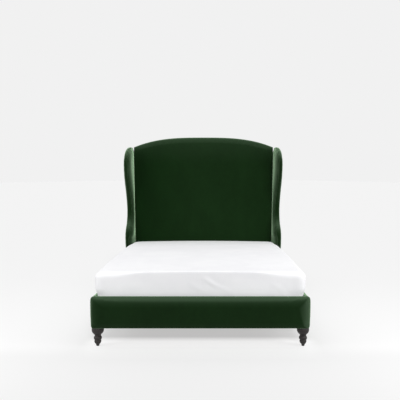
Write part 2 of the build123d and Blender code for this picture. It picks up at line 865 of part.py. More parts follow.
def leg_body():
    """The turned leg about its own axis, from its glide up to the rail."""
    top = leg_height
    z_widest = top * leg_widest_share
    z_shoulder = top * leg_shoulder_share
    z_neck = top * leg_upper_neck_share
    z_ring_top = top * leg_ring_top_share
    z_ring = top * leg_ring_share
    z_ring_low = top * leg_ring_low_share
    z_bulb = top * leg_bulb_share
    z_ankle = top * leg_ankle_share
    middle_radius = (leg_shoulder_radius + leg_neck_radius) / 2
    profile = [
        Line((0, top), (leg_top_radius, top)),
        ThreePointArc((leg_top_radius, top), (leg_radius, z_widest), (leg_shoulder_radius, z_shoulder)),
        ThreePointArc(
            (leg_shoulder_radius, z_shoulder),
            (middle_radius - leg_hollow_depth, (z_shoulder + z_neck) / 2),
            (leg_neck_radius, z_neck),
        ),
        Line((leg_neck_radius, z_neck), (leg_neck_radius, z_ring_top)),
        ThreePointArc((leg_neck_radius, z_ring_top), (leg_ring_radius, z_ring), (leg_neck_radius, z_ring_low)),
        ThreePointArc((leg_neck_radius, z_ring_low), (leg_bulb_radius, z_bulb), (leg_ankle_radius, z_ankle)),
        Line((leg_ankle_radius, z_ankle), (leg_foot_radius, glide_height)),
        Line((leg_foot_radius, glide_height), (0, glide_height)),
        Line((0, glide_height), (0, top)),
    ]
    return revolve(make_face(Plane.XZ * Curve(profile)), Axis.Z)


def make_legs():
    """Four turned legs with their hanger bolts and nailed glides."""
    body = leg_body()
    bolt_low = z_rail_bottom - (leg_bolt_length - leg_bolt_rise)
    radius = corner_bolt_radius
    body = body - rod_z(0, 0, bolt_low - soft_gap, z_rail_bottom + cut_overrun, radius + screw_clearance)
    z_stem = glide_height + glide_stem_length
    body = body - rod_z(0, 0, 0, z_stem + soft_gap, glide_stem_radius + screw_clearance)
    glide = rod_z(0, 0, 0, glide_height, glide_radius)
    glide = glide + rod_z(0, 0, glide_height / 2, glide_height + glide_stem_length, glide_stem_radius)
    bolt = rod_z(0, 0, bolt_low, z_rail_bottom + leg_bolt_rise, radius)
    places = {
        "front_left": Pos(-x_leg_front, y_leg_front, 0),
        "front_right": Pos(x_leg_front, y_leg_front, 0),
        "rear_left": Pos(-x_leg_rear, y_leg_rear, 0),
        "rear_right": Pos(x_leg_rear, y_leg_rear, 0),
    }
    for name, place in places.items():
        save(f"{name}_leg", place * body)
    save("leg_glides", group([place * glide for place in places.values()]))
    save("leg_bolts", group([place * bolt for place in places.values()]))


# Slat base


def slat_places():
    """Places of the slats along the bed."""
    first = y_board + slat_end_margin
    last = y_panel - slat_end_margin
    return [first + (last - first) * index / (slat_count - 1) for index in range(slat_count)]


def slat_ends():
    """Inner and outer ends of a slat on the right."""
    return cap_wall / 2 + soft_gap, x_rail_inner - cap_wall - 2 * soft_gap


def slat_body(y, clearance):
    """One bowed slat on the right, with a clearance all round."""
    x_in, x_out = slat_ends()
    x_mid = (x_in + x_out) / 2
    low = z_slat_bottom - clearance
    high = z_slat_top + clearance
    outline = ThreePointArc((x_in, high), (x_mid, high + slat_bow), (x_out, high))
    outline = outline + Line((x_out, high), (x_out, low))
    outline = outline + ThreePointArc((x_out, low), (x_mid, low + slat_bow), (x_in, low))
    outline = outline + Line((x_in, low), (x_in, high))
    width = slat_width + 2 * clearance
    face = Pos(0, y - width / 2, 0) * make_face(Plane.XZ * outline)
    return extrude(face, width, dir=(0, 1, 0))


def cap_top():
    """Height of the top of a slat cap, over the slat's rising crown."""
    x_in, x_out = slat_ends()
    rise = 4 * slat_bow * cap_grip / (x_out - x_in)
    return z_slat_top + rise + cap_wall


def peg_hole(x, y):
    """The hole for a cap's peg."""
    z_low = z_ledger - cap_peg_length - soft_gap
    return rod_z(x, y, z_low, z_ledger + cut_overrun, cap_peg_radius + screw_clearance)


def end_cap(y):
    """The plastic cap on a slat's outer end, with its peg in the ledger."""
    x_out = slat_ends()[1]
    half = slat_width / 2 + soft_gap + cap_wall
    body = block(x_out - cap_grip, x_rail_inner - soft_gap, y - half, y + half, z_ledger, cap_top())
    body = body - slat_body(y, soft_gap)
    return body + rod_z(peg_x(), y, z_ledger - cap_peg_length, z_ledger + cap_wall / 2, cap_peg_radius)


def peg_x():
    """The pegs stand over the ledger's middle."""
    return x_rail_inner - ledger_width / 2


def centre_cap(y):
    """The double cap over the centre beam, with its peg."""
    x_in = slat_ends()[0]
    reach = x_in + cap_grip
    half = slat_width / 2 + soft_gap + cap_wall
    body = block(-reach, reach, y - half, y + half, z_ledger, cap_top())
    slot = slat_body(y, soft_gap)
    body = body - slot - mirrored(slot)
    return body + rod_z(0, y, z_ledger - cap_peg_length, z_ledger + cap_wall / 2, cap_peg_radius)


def make_slats():
    """Two rows of bowed slats and their caps."""
    slats = [slat_body(y, 0) for y in slat_places()]
    outer_caps = [end_cap(y) for y in slat_places()]
    save("slats_right", group(slats))
    save("slats_left", group([mirrored(slat) for slat in slats]))
    save("slat_end_caps", group(outer_caps + [mirrored(cap) for cap in outer_caps]))
    save("slat_centre_caps", group([centre_cap(y) for y in slat_places()]))


def ledger_screw_places():
    """Places of the ledger's screws along the bed, between the slat caps."""
    slats = slat_places()
    places = []
    for index in range(ledger_screw_count):
        first = min(2 * index, len(slats) - 2)
        places.append((slats[first] + slats[first + 1]) / 2)
    return places


def ledger_screw_z():
    """The ledger's screws run through its middle."""
    return z_ledger - ledger_height / 2


def ledger_screw_hole(y):
    """Clearance hole through the ledger and into the side board."""
    tip = x_rail_inner + ledger_screw_bite + soft_gap
    radius = screw_hole_radius
    return rod_x(x_rail_inner - ledger_width - cut_overrun, tip, y, ledger_screw_z(), radius)


def ledger_screw(y):
    """A screw with its head on the ledger's inner face."""
    x_face = x_rail_inner - ledger_width
    z = ledger_screw_z()
    head = rod_x(x_face - ledger_screw_head_height, x_face, y, z, ledger_screw_head_radius)
    tip = x_rail_inner + ledger_screw_bite
    return head + rod_x(x_face - ledger_screw_head_height / 2, tip, y, z, ledger_screw_radius)


def make_ledgers():
    """The timber ledgers that carry the slats' outer ends."""
    body = block(
        x_rail_inner - ledger_width,
        x_rail_inner,
        y_board + soft_gap,
        y_panel - soft_gap,
        z_ledger - ledger_height,
        z_ledger,
    )
    for y in ledger_screw_places():
        body = body - ledger_screw_hole(y)
    for y in slat_places():
        body = body - peg_hole(peg_x(), y)
    save("ledger_right", body)
    save("ledger_left", mirrored(body))


# Centre beam, hangers and centre legs


def hanger_screw_places():
    """Places (x, z) of a hanger's screws, one in each ear."""
    x = beam_width / 2 + soft_gap + hanger_thickness + hanger_ear / 2
    z = z_beam_bottom + beam_height / 2
    return [(-x, z), (x, z)]


def hanger_form():
    """A steel stirrup that opens towards +Y, with its ears on the plane y = 0."""
    inner = beam_width / 2 + soft_gap
    outer = inner + hanger_thickness
    z_low = z_beam_bottom - hanger_thickness
    seat = block(-outer, outer, 0, hanger_depth, z_low, z_beam_bottom)
    cheek = block(inner, outer, 0, hanger_depth, z_low, z_ledger)
    ear = block(inner, outer + hanger_ear, 0, hanger_thickness, z_low, z_ledger)
    body = seat + cheek + mirrored(cheek) + ear + mirrored(ear)
    for x, z in hanger_screw_places():
        body = body - rod_y(x, -cut_overrun, cut_overrun, z, screw_hole_radius)
    return body


def hanger_screw(x, z):
    """A hanger screw whose head sits on the ear."""
    y_face = hanger_thickness
    head = rod_y(x, y_face, y_face + ledger_screw_head_height, z, ledger_screw_head_radius)
    y_tip = soft_gap - hanger_screw_length
    return head + rod_y(x, y_tip, y_face + ledger_screw_head_height / 2, z, ledger_screw_radius)


def make_beam():
    """The centre beam, its two hangers, and the screws of the hangers and ledgers."""
    y_from = y_board + soft_gap
    y_to = y_panel - soft_gap
    body = block(-beam_width / 2, beam_width / 2, y_from, y_to, z_beam_bottom, z_ledger)
    for y in slat_places():
        body = body - peg_hole(0, y)
    for y in (centre_leg_front_y, centre_leg_rear_y):
        hole = centre_bolt_length / 2 + soft_gap
        radius = centre_stud_radius + screw_clearance
        body = body - rod_z(0, y, z_beam_bottom - cut_overrun, z_beam_bottom + hole, radius)
    save("centre_beam", body)
    at_foot = Pos(0, y_board, 0)
    at_head = Pos(0, y_panel, 0) * Rot(0, 0, 180)
    save("beam_hangers", group([at_foot * hanger_form(), at_head * hanger_form()]))
    screws = [ledger_screw(y) for y in ledger_screw_places()]
    screws += [mirrored(screw) for screw in screws]
    for x, z in hanger_screw_places():
        screws.append(at_foot * hanger_screw(x, z))
        screws.append(at_head * hanger_screw(x, z))
    save("base_screws", group(screws))


def make_centre_legs():
    """Square centre legs, dowel screws and levelling feet."""
    z_low = centre_foot_height + soft_gap
    post = block(
        -centre_leg_width / 2,
        centre_leg_width / 2,
        -centre_leg_width / 2,
        centre_leg_width / 2,
        z_low,
        z_beam_bottom,
    )
    stud_hole = centre_stud_radius + screw_clearance
    post = post - rod_z(0, 0, 0, centre_foot_height + centre_stud_length + soft_gap, stud_hole)
    half_bolt = centre_bolt_length / 2
    post = post - rod_z(0, 0, z_beam_bottom - half_bolt - soft_gap, z_beam_bottom + cut_overrun, stud_hole)
    dowel = rod_z(0, 0, z_beam_bottom - half_bolt, z_beam_bottom + half_bolt, centre_stud_radius)
    disc = Cone(centre_foot_radius, centre_foot_radius - centre_foot_height / 2, centre_foot_height)
    disc = Pos(0, 0, centre_foot_height / 2) * disc
    z_stud = centre_foot_height + centre_stud_length
    foot = disc + rod_z(0, 0, centre_foot_height / 2, z_stud, centre_stud_radius)
    places = {"front": Pos(0, centre_leg_front_y, 0), "rear": Pos(0, centre_leg_rear_y, 0)}
    for name, place in places.items():
        save(f"centre_leg_{name}", place * post)
        save(f"levelling_foot_{name}", place * foot)
    save("centre_leg_dowel_screws", group([place * dowel for place in places.values()]))


os.makedirs("parts", exist_ok=True)
make_mattress()
make_sheet()
make_foot_rail()
make_side_rail("left", mirrored)
make_side_rail("right", lambda shape: shape)
make_headboard_upholstery()
make_headboard_frame()
make_cross_rail()
make_wing("left", mirrored)
make_wing("right", lambda shape: shape)
make_wing_fixings()
make_corner_blocks()
make_brackets()
make_inserts()
make_legs()
make_slats()
make_ledgers()
make_beam()
make_centre_legs()
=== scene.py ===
import bmesh
import bpy
import json
import math
import numpy as np
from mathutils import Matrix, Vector, kdtree


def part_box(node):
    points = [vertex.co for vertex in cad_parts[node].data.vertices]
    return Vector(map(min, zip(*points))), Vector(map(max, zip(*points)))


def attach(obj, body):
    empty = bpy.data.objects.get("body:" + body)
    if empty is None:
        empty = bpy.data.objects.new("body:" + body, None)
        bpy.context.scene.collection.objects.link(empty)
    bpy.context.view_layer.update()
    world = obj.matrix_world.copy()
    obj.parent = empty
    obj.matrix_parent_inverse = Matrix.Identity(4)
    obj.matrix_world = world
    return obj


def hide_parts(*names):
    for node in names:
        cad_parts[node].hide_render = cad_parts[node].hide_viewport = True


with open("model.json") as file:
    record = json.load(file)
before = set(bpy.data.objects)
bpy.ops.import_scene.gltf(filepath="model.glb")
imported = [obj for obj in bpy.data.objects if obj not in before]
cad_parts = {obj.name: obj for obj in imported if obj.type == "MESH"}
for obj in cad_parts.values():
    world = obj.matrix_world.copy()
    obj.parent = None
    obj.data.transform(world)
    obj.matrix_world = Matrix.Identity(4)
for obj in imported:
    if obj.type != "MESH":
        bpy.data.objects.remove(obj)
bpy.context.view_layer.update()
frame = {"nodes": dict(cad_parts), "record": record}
cad_nodes = frame["nodes"]
scene = bpy.context.scene


# Materials

velvet_dark = (0.0040, 0.0170, 0.0032)
velvet_light = (0.0062, 0.0245, 0.0052)
# Pale green painted into the velvet as a highlight where light would catch it
painted_highlight_colour = (0.075, 0.125, 0.073)


def grey(level):
    """A colour with the same level in all three channels."""
    return (level, level, level)


def bare_tree(holder, output_kind):
    """The node tree of a material or world, emptied, and its new output."""
    holder.use_nodes = True
    tree = holder.node_tree
    tree.nodes.clear()
    return tree, tree.nodes.new(output_kind)


def new_material(name):
    """A material with a bare Principled shader and the object's own coordinates."""
    made = bpy.data.materials.new(name)
    tree, output = bare_tree(made, "ShaderNodeOutputMaterial")
    shader = tree.nodes.new("ShaderNodeBsdfPrincipled")
    tree.links.new(shader.outputs["BSDF"], output.inputs["Surface"])
    place = tree.nodes.new("ShaderNodeTexCoord").outputs["Object"]
    return made, tree, shader, place


def set_shader(tree, shader, values):
    """Sets the shader's inputs, each to a number, a colour or another node's output."""
    for name, value in values.items():
        if isinstance(value, bpy.types.NodeSocket):
            tree.links.new(value, shader.inputs[name])
        else:
            shader.inputs[name].default_value = value


def scaled(tree, place, factors):
    """The place multiplied along each axis."""
    node = tree.nodes.new("ShaderNodeMapping")
    node.inputs["Scale"].default_value = factors
    tree.links.new(place, node.inputs["Vector"])
    return node.outputs["Vector"]


def noise(tree, place, scale, detail, rough=0.5, distortion=0.0):
    """Cloudy noise from 0 to 1."""
    node = tree.nodes.new("ShaderNodeTexNoise")
    node.inputs["Scale"].default_value = scale
    node.inputs["Detail"].default_value = detail
    node.inputs["Roughness"].default_value = rough
    node.inputs["Distortion"].default_value = distortion
    tree.links.new(place, node.inputs["Vector"])
    return node.outputs["Fac"]


def wave(tree, place, scale, direction, distortion):
    """Fine stripes across one axis, for threads and grain."""
    node = tree.nodes.new("ShaderNodeTexWave")
    node.wave_type = "BANDS"
    node.bands_direction = direction
    node.inputs["Scale"].default_value = scale
    node.inputs["Distortion"].default_value = distortion
    node.inputs["Detail"].default_value = 1.0
    tree.links.new(place, node.inputs["Vector"])
    return node.outputs["Fac"]


def ramp(tree, value, stops):
    """Colours over a value, as (position, colour) stops."""
    node = tree.nodes.new("ShaderNodeValToRGB")
    while len(node.color_ramp.elements) < len(stops):
        node.color_ramp.elements.new(0.5)
    for element, (position, colour) in zip(node.color_ramp.elements, stops):
        element.position = position
        element.color = (*colour, 1.0)
    tree.links.new(value, node.inputs["Fac"])
    return node.outputs["Color"]


def axes_of(tree, vector):
    """The X, Y and Z parts of a vector."""
    node = tree.nodes.new("ShaderNodeSeparateXYZ")
    tree.links.new(vector, node.inputs[0])
    return node.outputs


def math_node(tree, kind, *values):
    """One sum on up to three values, each a socket or a number."""
    node = tree.nodes.new("ShaderNodeMath")
    node.operation = kind
    for index, value in enumerate(values):
        if isinstance(value, (int, float)):
            node.inputs[index].default_value = value
        else:
            tree.links.new(value, node.inputs[index])
    return node.outputs["Value"]


def stepped(tree, value, start, stop, low, high, kind="SMOOTHSTEP"):
    """A value that goes from low to high between two places."""
    node = tree.nodes.new("ShaderNodeMapRange")
    node.interpolation_type = kind
    for socket, number in (("From Min", start), ("From Max", stop), ("To Min", low), ("To Max", high)):
        node.inputs[socket].default_value = number
    tree.links.new(value, node.inputs["Value"])
    return node.outputs["Result"]


def mixed(tree, amount, first, second, kind="MIX"):
    """Two colours mixed by an amount."""
    node = tree.nodes.new("ShaderNodeMix")
    node.data_type = "RGBA"
    node.blend_type = kind
    if isinstance(amount, (int, float)):
        node.inputs["Factor"].default_value = amount
    else:
        tree.links.new(amount, node.inputs["Factor"])
    for name, value in (("A", first), ("B", second)):
        socket = [s for s in node.inputs if s.name == name and s.type == "RGBA"][0]
        if isinstance(value, tuple):
            socket.default_value = (*value, 1.0)
        else:
            tree.links.new(value, socket)
    return [s for s in node.outputs if s.type == "RGBA"][0]


def relief(tree, height, strength, distance, under=None):
    """The normal of a relief from a height, laid over a coarser relief's normal."""
    node = tree.nodes.new("ShaderNodeBump")
    node.inputs["Strength"].default_value = strength
    node.inputs["Distance"].default_value = distance
    tree.links.new(height, node.inputs["Height"])
    if under is not None:
        tree.links.new(under, node.inputs["Normal"])
    return node.outputs["Normal"]


def velvet_material(name, left=1.0, corner=0.0, painted_light_most=0.8):
    """Deep green cut velvet: short dense pile, brushed patches, pale sheen at grazing angles.
    Painted shade can darken its left across the width, and painted light can pale its top.
    A painted highlight lightens it where it faces up, or round the corner at the right."""
    # Heights and level of the painted light at the top; powers of the painted highlights
    pale_from, pale_to, painted_top_light_level = 1.34, 1.58, 0.07
    upward_highlight_power, corner_power = 1.8, 1.6
    made, tree, shader, place = new_material(name)
    brushed = noise(tree, scaled(tree, place, (1.6, 1.6, 0.7)), 2.2, 3.0, 0.55, 0.8)
    patches = noise(tree, scaled(tree, place, (1.0, 1.0, 0.6)), 14.0, 4.0, 0.6, 1.2)
    pile = noise(tree, place, 900.0, 2.0, 0.7)
    cloth = ramp(tree, brushed, [(0.3, velvet_dark), (0.7, velvet_light)])
    spots = ramp(tree, patches, [(0.42, velvet_dark), (0.72, velvet_light)])
    base = mixed(tree, 0.35, cloth, spots)
    facing = axes_of(tree, place.node.outputs["Normal"])
    # Painted highlight: the more the velvet faces up, the paler it is painted, as if lit from above
    upward = math_node(tree, "MAXIMUM", facing["Z"], 0.0)
    turned = math_node(tree, "POWER", upward, upward_highlight_power)
    # Painted highlight on a front corner turned to the right, as if lit from the right
    if corner > 0.0:
        right = math_node(tree, "MAXIMUM", facing["X"], 0.0)
        ahead = math_node(tree, "MAXIMUM", math_node(tree, "MULTIPLY", facing["Y"], -1.0), 0.0)
        painted_corner_highlight = math_node(tree, "MULTIPLY", math_node(tree, "MULTIPLY", right, ahead), corner)
        painted_corner_highlight = math_node(tree, "POWER", painted_corner_highlight, corner_power)
        turned = math_node(tree, "MAXIMUM", turned, painted_corner_highlight)
    # Painted shade darkening the left of the width, and painted light paling the top
    if left < 1.0:
        spot = axes_of(tree, place)
        across = math_node(tree, "MULTIPLY_ADD", spot["X"], 0.5, 0.5)
        way = ramp(tree, across, [(0.13, (left, 0.6 + 0.4 * left, left)), (0.44, grey(1.0))])
        base = mixed(tree, 1.0, base, way, "MULTIPLY")
        painted_top_light = stepped(tree, spot["Z"], pale_from, pale_to, 0.0, painted_top_light_level)
        turned = math_node(tree, "MAXIMUM", turned, painted_top_light)
    # The painted light is capped and mixed towards the painted highlight colour
    turned = math_node(tree, "MINIMUM", turned, painted_light_most)
    base = mixed(tree, turned, base, painted_highlight_colour)
    shade = ramp(tree, pile, [(0.3, grey(0.72)), (0.7, grey(1.0))])
    set_shader(tree, shader, {
        "Base Color": mixed(tree, 1.0, base, shade, "MULTIPLY"),
        "Roughness": math_node(tree, "MULTIPLY_ADD", patches, 0.12, 0.85),
        "Specular IOR Level": 0.02,
        "Sheen Weight": 1.0,
        "Sheen Roughness": 0.40,
        "Sheen Tint": (0.68, 1.0, 0.64, 1.0),
        "Normal": relief(tree, pile, 0.35, 0.0006, relief(tree, patches, 0.25, 0.004)),
    })
    return made


def sheet_material():
    """White percale cotton: close plain weave, soft sheen, faint rumples."""
    made, tree, shader, place = new_material("sheet_cotton")
    thread_scale = 420.0
    rumple = noise(tree, place, 5.0, 3.0, 0.5, 0.6)
    warp = wave(tree, place, thread_scale, "X", 0.4)
    weft = wave(tree, place, thread_scale, "Y", 0.4)
    threads = math_node(tree, "MULTIPLY", warp, weft)
    set_shader(tree, shader, {
        "Base Color": ramp(tree, rumple, [(0.3, (0.88, 0.88, 0.90)), (0.7, (0.92, 0.92, 0.935))]),
        "Roughness": 0.85,
        "Specular IOR Level": 0.25,
        "Sheen Weight": 0.04,
        "Sheen Roughness": 0.4,
        "Normal": relief(tree, threads, 0.2, 0.0003, relief(tree, rumple, 0.3, 0.012)),
    })
    return made


def woven_material(name, dark, light, scale, rough):
    """A plain woven cloth, with threads both ways and a little unevenness."""
    made, tree, shader, place = new_material(name)
    cloud = noise(tree, place, 6.0, 3.0, 0.5)
    warp, fill, weft = [wave(tree, place, scale, axis, 0.6) for axis in "XYZ"]
    threads = math_node(tree, "ADD", math_node(tree, "MULTIPLY", warp, weft), fill)
    set_shader(tree, shader, {
        "Base Color": ramp(tree, cloud, [(0.3, dark), (0.7, light)]),
        "Roughness": rough,
        "Specular IOR Level": 0.2,
        "Normal": relief(tree, threads, 0.3, 0.0005),
    })
    return made


def wood_material(name, axis, dark, light, rough, coat=0.0, rings=26.0):
    """Sawn or turned timber with its grain along one axis."""
    made, tree, shader, place = new_material(name)
    cross_scale, long_scale = 9.0, 0.55
    stretch = [cross_scale] * 3
    stretch[axis] = long_scale
    figure = noise(tree, scaled(tree, place, stretch), rings / cross_scale, 6.0, 0.6, 0.9)
    pores = noise(tree, scaled(tree, place, [6.0 * s for s in stretch]), 14.0, 2.0, 0.6)
    middle = tuple((a + b) / 2 for a, b in zip(dark, light))
    colour = ramp(tree, figure, [(0.28, dark), (0.52, middle), (0.75, light)])
    flecks = ramp(tree, pores, [(0.35, grey(0.62)), (0.55, grey(1.0))])
    amount = math_node(tree, "MULTIPLY", pores, 0.9)
    set_shader(tree, shader, {
        "Base Color": mixed(tree, amount, colour, flecks, "MULTIPLY"),
        "Roughness": math_node(tree, "MULTIPLY_ADD", figure, 0.15, rough),
        "Specular IOR Level": 0.4,
        "Coat Weight": coat,
        "Coat Roughness": 0.35,
        "Normal": relief(tree, pores, 0.25, 0.0006),
    })
    return made


def steel_material():
    """Zinc-plated steel with a brushed, slightly clouded surface."""
    made, tree, shader, place = new_material("plated_steel")
    cloud = noise(tree, place, 60.0, 4.0, 0.6)
    brushing = noise(tree, scaled(tree, place, (1.0, 12.0, 1.0)), 300.0, 2.0)
    set_shader(tree, shader, {
        "Base Color": ramp(tree, cloud, [(0.3, (0.46, 0.47, 0.48)), (0.7, (0.62, 0.62, 0.61))]),
        "Metallic": 1.0,
        "Roughness": math_node(tree, "MULTIPLY_ADD", cloud, 0.25, 0.28),
        "Normal": relief(tree, brushing, 0.1, 0.0003),
    })
    return made


def plastic_material():
    """Dark moulded plastic with a fine spark-eroded grain."""
    made, tree, shader, place = new_material("moulded_plastic")
    grain = noise(tree, place, 1400.0, 2.0, 0.6)
    cloud = noise(tree, place, 20.0, 2.0, 0.5)
    set_shader(tree, shader, {
        "Base Color": ramp(tree, cloud, [(0.3, (0.018, 0.018, 0.019)), (0.7, (0.028, 0.028, 0.030))]),
        "Roughness": 0.5,
        "Normal": relief(tree, grain, 0.2, 0.0003),
    })
    return made


# Every velvet gets a painted highlight where it faces up
velvet = velvet_material("velvet_green")
# The panel's velvet also has painted shade on its left and painted light at its top
panel_velvet_painted_shade = velvet_material("velvet_panel_painted_shade", left=0.45)
# The rail's velvet also has a painted highlight round its right front corner
rail_velvet_painted_highlight = velvet_material("velvet_rail_painted_highlight", corner=1.9, painted_light_most=0.48)
cotton = sheet_material()
ticking_cloth = woven_material("ticking_weave", (0.62, 0.60, 0.55), (0.74, 0.72, 0.68), 260.0, 0.9)
lining_cloth = woven_material("lining_weave", (0.012, 0.012, 0.013), (0.022, 0.022, 0.024), 300.0, 0.95)
leg_dark, leg_light = (0.0094, 0.0070, 0.0062), (0.0240, 0.0186, 0.0160)
leg_wood = wood_material("stained_leg", 2, leg_dark, leg_light, 0.5, coat=0.04)
pine_dark, pine_light = (0.42, 0.25, 0.12), (0.62, 0.43, 0.25)
pine = [wood_material("sawn_pine_" + "xyz"[i], i, pine_dark, pine_light, 0.6) for i in (0, 1, 2)]
beech = wood_material("bent_beech", 0, (0.48, 0.30, 0.17), (0.66, 0.47, 0.30), 0.45, coat=0.1)
plywood = wood_material("birch_plywood", 2, (0.46, 0.31, 0.18), (0.60, 0.44, 0.28), 0.6, rings=14.0)
steel = steel_material()
plastic = plastic_material()

node_finishes = {
    "leg_wood": leg_wood, "frame_wood": pine[0], "plywood": plywood, "slat_wood": beech,
    "steel": steel, "plastic": plastic, "velvet": velvet, "sheet": cotton,
    "ticking": ticking_cloth, "filling": ticking_cloth, "lining": lining_cloth,
}
along_y = ("centre_beam", "ledger_left", "ledger_right", "left_rail_board", "right_rail_board")
along_z = ("headboard_left_post", "headboard_right_post", "headboard_stiles", "corner_block_left",
           "corner_block_right", "wing_battens", "centre_leg_front", "centre_leg_rear")
slot_of = {entry["node"]: entry["material_slot"] for entry in frame["record"]["subparts"]}

for node_name in cad_nodes:
    chosen = node_finishes.get(slot_of.get(node_name), pine[0])
    if node_name in along_y:
        chosen = pine[1]
    if node_name in along_z:
        chosen = pine[2]
    finishes = cad_nodes[node_name].data.materials
    finishes.clear()
    finishes.append(chosen)


# Mesh tools


def placed(name, data):
    """A new object in the scene."""
    thing = bpy.data.objects.new(name, data)
    scene.collection.objects.link(thing)
    return thing


def mesh_object(name, vertices, faces, made):
    """A new smooth-shaded mesh object in the scene."""
    mesh = bpy.data.meshes.new(name)
    mesh.from_pydata([tuple(v) for v in vertices], [], [tuple(int(i) for i in f) for f in faces])
    mesh.validate()
    mesh.materials.append(made)
    mesh.shade_smooth()
    return placed(name, mesh)


def grid_faces(rows, columns, first=0, turned=False):
    """Quads over a grid of points, facing the other way where turned."""
    faces = []
    for j in range(rows - 1):
        for i in range(columns - 1):
            a = first + j * columns + i
            if turned:
                faces.append((a, a + columns, a + columns + 1, a + 1))
            else:
                faces.append((a, a + 1, a + columns + 1, a + columns))
    return faces


def rim_of(rows, columns):
    """The points round the edge of a grid, in order."""
    rim = list(range(columns)) + [j * columns + columns - 1 for j in range(1, rows)]
    rim += [(rows - 1) * columns + i for i in range(columns - 2, -1, -1)]
    rim += [j * columns for j in range(rows - 2, 0, -1)]
    return np.array(rim)


def bridged(first, second):
    """Quads between two closed rings of points."""
    faces = []
    for k in range(len(first)):
        m = (k + 1) % len(first)
        faces.append((first[k], second[k], second[m], first[m]))
    return faces


def values_of(items, name, size, kind=np.float64):
    """One value of all the mesh's items, as an array with a row for each."""
    flat = np.zeros(len(items) * size, dtype=kind)
    items.foreach_get(name, flat)
    return flat.reshape(-1, size)


def points_of(thing):
    """The mesh's vertices as an array."""
    return values_of(thing.data.vertices, "co", 3)


def set_points(thing, points):
    """Moves the mesh's vertices."""
    thing.data.vertices.foreach_set("co", np.asarray(points, dtype=np.float64).ravel())
    thing.data.update()


def normals_of(thing):
    """The mesh's vertex normals as an array."""
    return values_of(thing.data.vertex_normals, "vector", 3)


def triangles_of(name):
    """Vertices and triangles of a carried-over node."""
    mesh = cad_nodes[name].data
    mesh.calc_loop_triangles()
    return points_of(cad_nodes[name]), values_of(mesh.loop_triangles, "vertices", 3, np.int64)


def gathered(names, side):
    """Triangles of several nodes in one list, with only the right or left half where side says so."""
    points, faces, count = [], [], 0
    for corner, triangle in [triangles_of(name) for name in names]:
        if side:
            keep = (corner[triangle][:, :, 0] * side > 0).all(axis=1)
            triangle = triangle[keep]
        points.append(corner)
        faces.append(triangle + count)
        count += len(corner)
    return np.concatenate(points), np.concatenate(faces)


def applied(thing):
    """Works the object's modifiers into its mesh."""
    graph = bpy.context.evaluated_depsgraph_get()
    made = bpy.data.meshes.new_from_object(thing.evaluated_get(graph))
    old = thing.data
    thing.modifiers.clear()
    thing.data = made
    bpy.data.meshes.remove(old)
    made.shade_smooth()


def outermost(thing):
    """Keeps the largest connected skin and drops the ones inside it."""
    mesh = thing.data
    edges = values_of(mesh.edges, "vertices", 2, np.int64)
    label = np.arange(len(mesh.vertices))
    while True:
        low = np.minimum(label[edges[:, 0]], label[edges[:, 1]])
        following = label.copy()
        np.minimum.at(following, edges[:, 0], low)
        np.minimum.at(following, edges[:, 1], low)
        following = following[following]
        if (following == label).all():
            break
        label = following
    names, counts = np.unique(label, return_counts=True)
    if len(names) > 1:
        kept = names[counts.argmax()]
        work = bmesh.new()
        work.from_mesh(mesh)
        work.verts.ensure_lookup_table()
        dropped = [work.verts[i] for i in np.nonzero(label != kept)[0]]
        bmesh.ops.delete(work, geom=dropped, context="VERTS")
        work.to_mesh(mesh)
        work.free()


def skin(name, names, made, voxel, side=0):
    """An even, closed quad skin round the given nodes, taken together."""
    points, faces = gathered(names, side)
    thing = mesh_object(name, points, faces, made)
    remesh = thing.modifiers.new("remesh", "REMESH")
    remesh.mode = "VOXEL"
    remesh.voxel_size = voxel
    applied(thing)
    outermost(thing)
    relax = thing.modifiers.new("relax", "SMOOTH")
    relax.factor = 0.5
    relax.iterations = 4
    applied(thing)
    return thing


def eased(value, start, stop):
    """0 before start, 1 after stop, smooth between."""
    share = np.clip((value - start) / (stop - start), 0.0, 1.0)
    return share * share * (3.0 - 2.0 * share)


def puffed(thing, steps, cap, allowed):
    """Swells a pad's cover as cloth under pressure, each point by at most the cap times its share."""
    rest = points_of(thing)
    cloth = thing.modifiers.new("cloth", "CLOTH")
    settings = cloth.settings
    settings.quality = 4
    settings.mass = 0.3
    settings.tension_stiffness = 12.0
    settings.compression_stiffness = 12.0
    settings.shear_stiffness = 6.0
    settings.bending_stiffness = 0.6
    settings.air_damping = 2.0
    settings.use_pressure = True
    settings.uniform_pressure_force = 4.0
    settings.effector_weights.gravity = 0.0
    cloth.point_cache.frame_start = 1
    cloth.point_cache.frame_end = steps
    for step in range(1, steps + 1):
        scene.frame_set(step)
    applied(thing)
    moved = points_of(thing) - rest
    length = np.maximum(np.linalg.norm(moved, axis=1), 1e-9)
    limit = cap * allowed(rest)
    moved *= (np.minimum(length, limit) / length)[:, None]
    set_points(thing, rest + moved)
    scene.frame_set(1)


def rounded_off(first, second, reach_first, reach_second):
    """Draws an outside corner in to an ellipse, from two depths below its faces and the half axes."""
    a = np.clip(1.0 - first / reach_first, 0.0, None)
    b = np.clip(1.0 - second / reach_second, 0.0, None)
    out = np.maximum(np.sqrt(a * a + b * b), 1.0)
    inside = (a > 0.0) & (b > 0.0)
    first = np.where(inside, reach_first * (1.0 - a / out), first)
    second = np.where(inside, reach_second * (1.0 - b / out), second)
    return first, second


def subdivided(thing):
    """One smooth subdivision, worked into the mesh."""
    finer = thing.modifiers.new("finer", "SUBSURF")
    finer.levels = 1
    applied(thing)


def lifted(thing, height):
    """Moves each point along its normal by a height worked out from the points."""
    points = points_of(thing)
    set_points(thing, points + normals_of(thing) * height(points)[:, None])


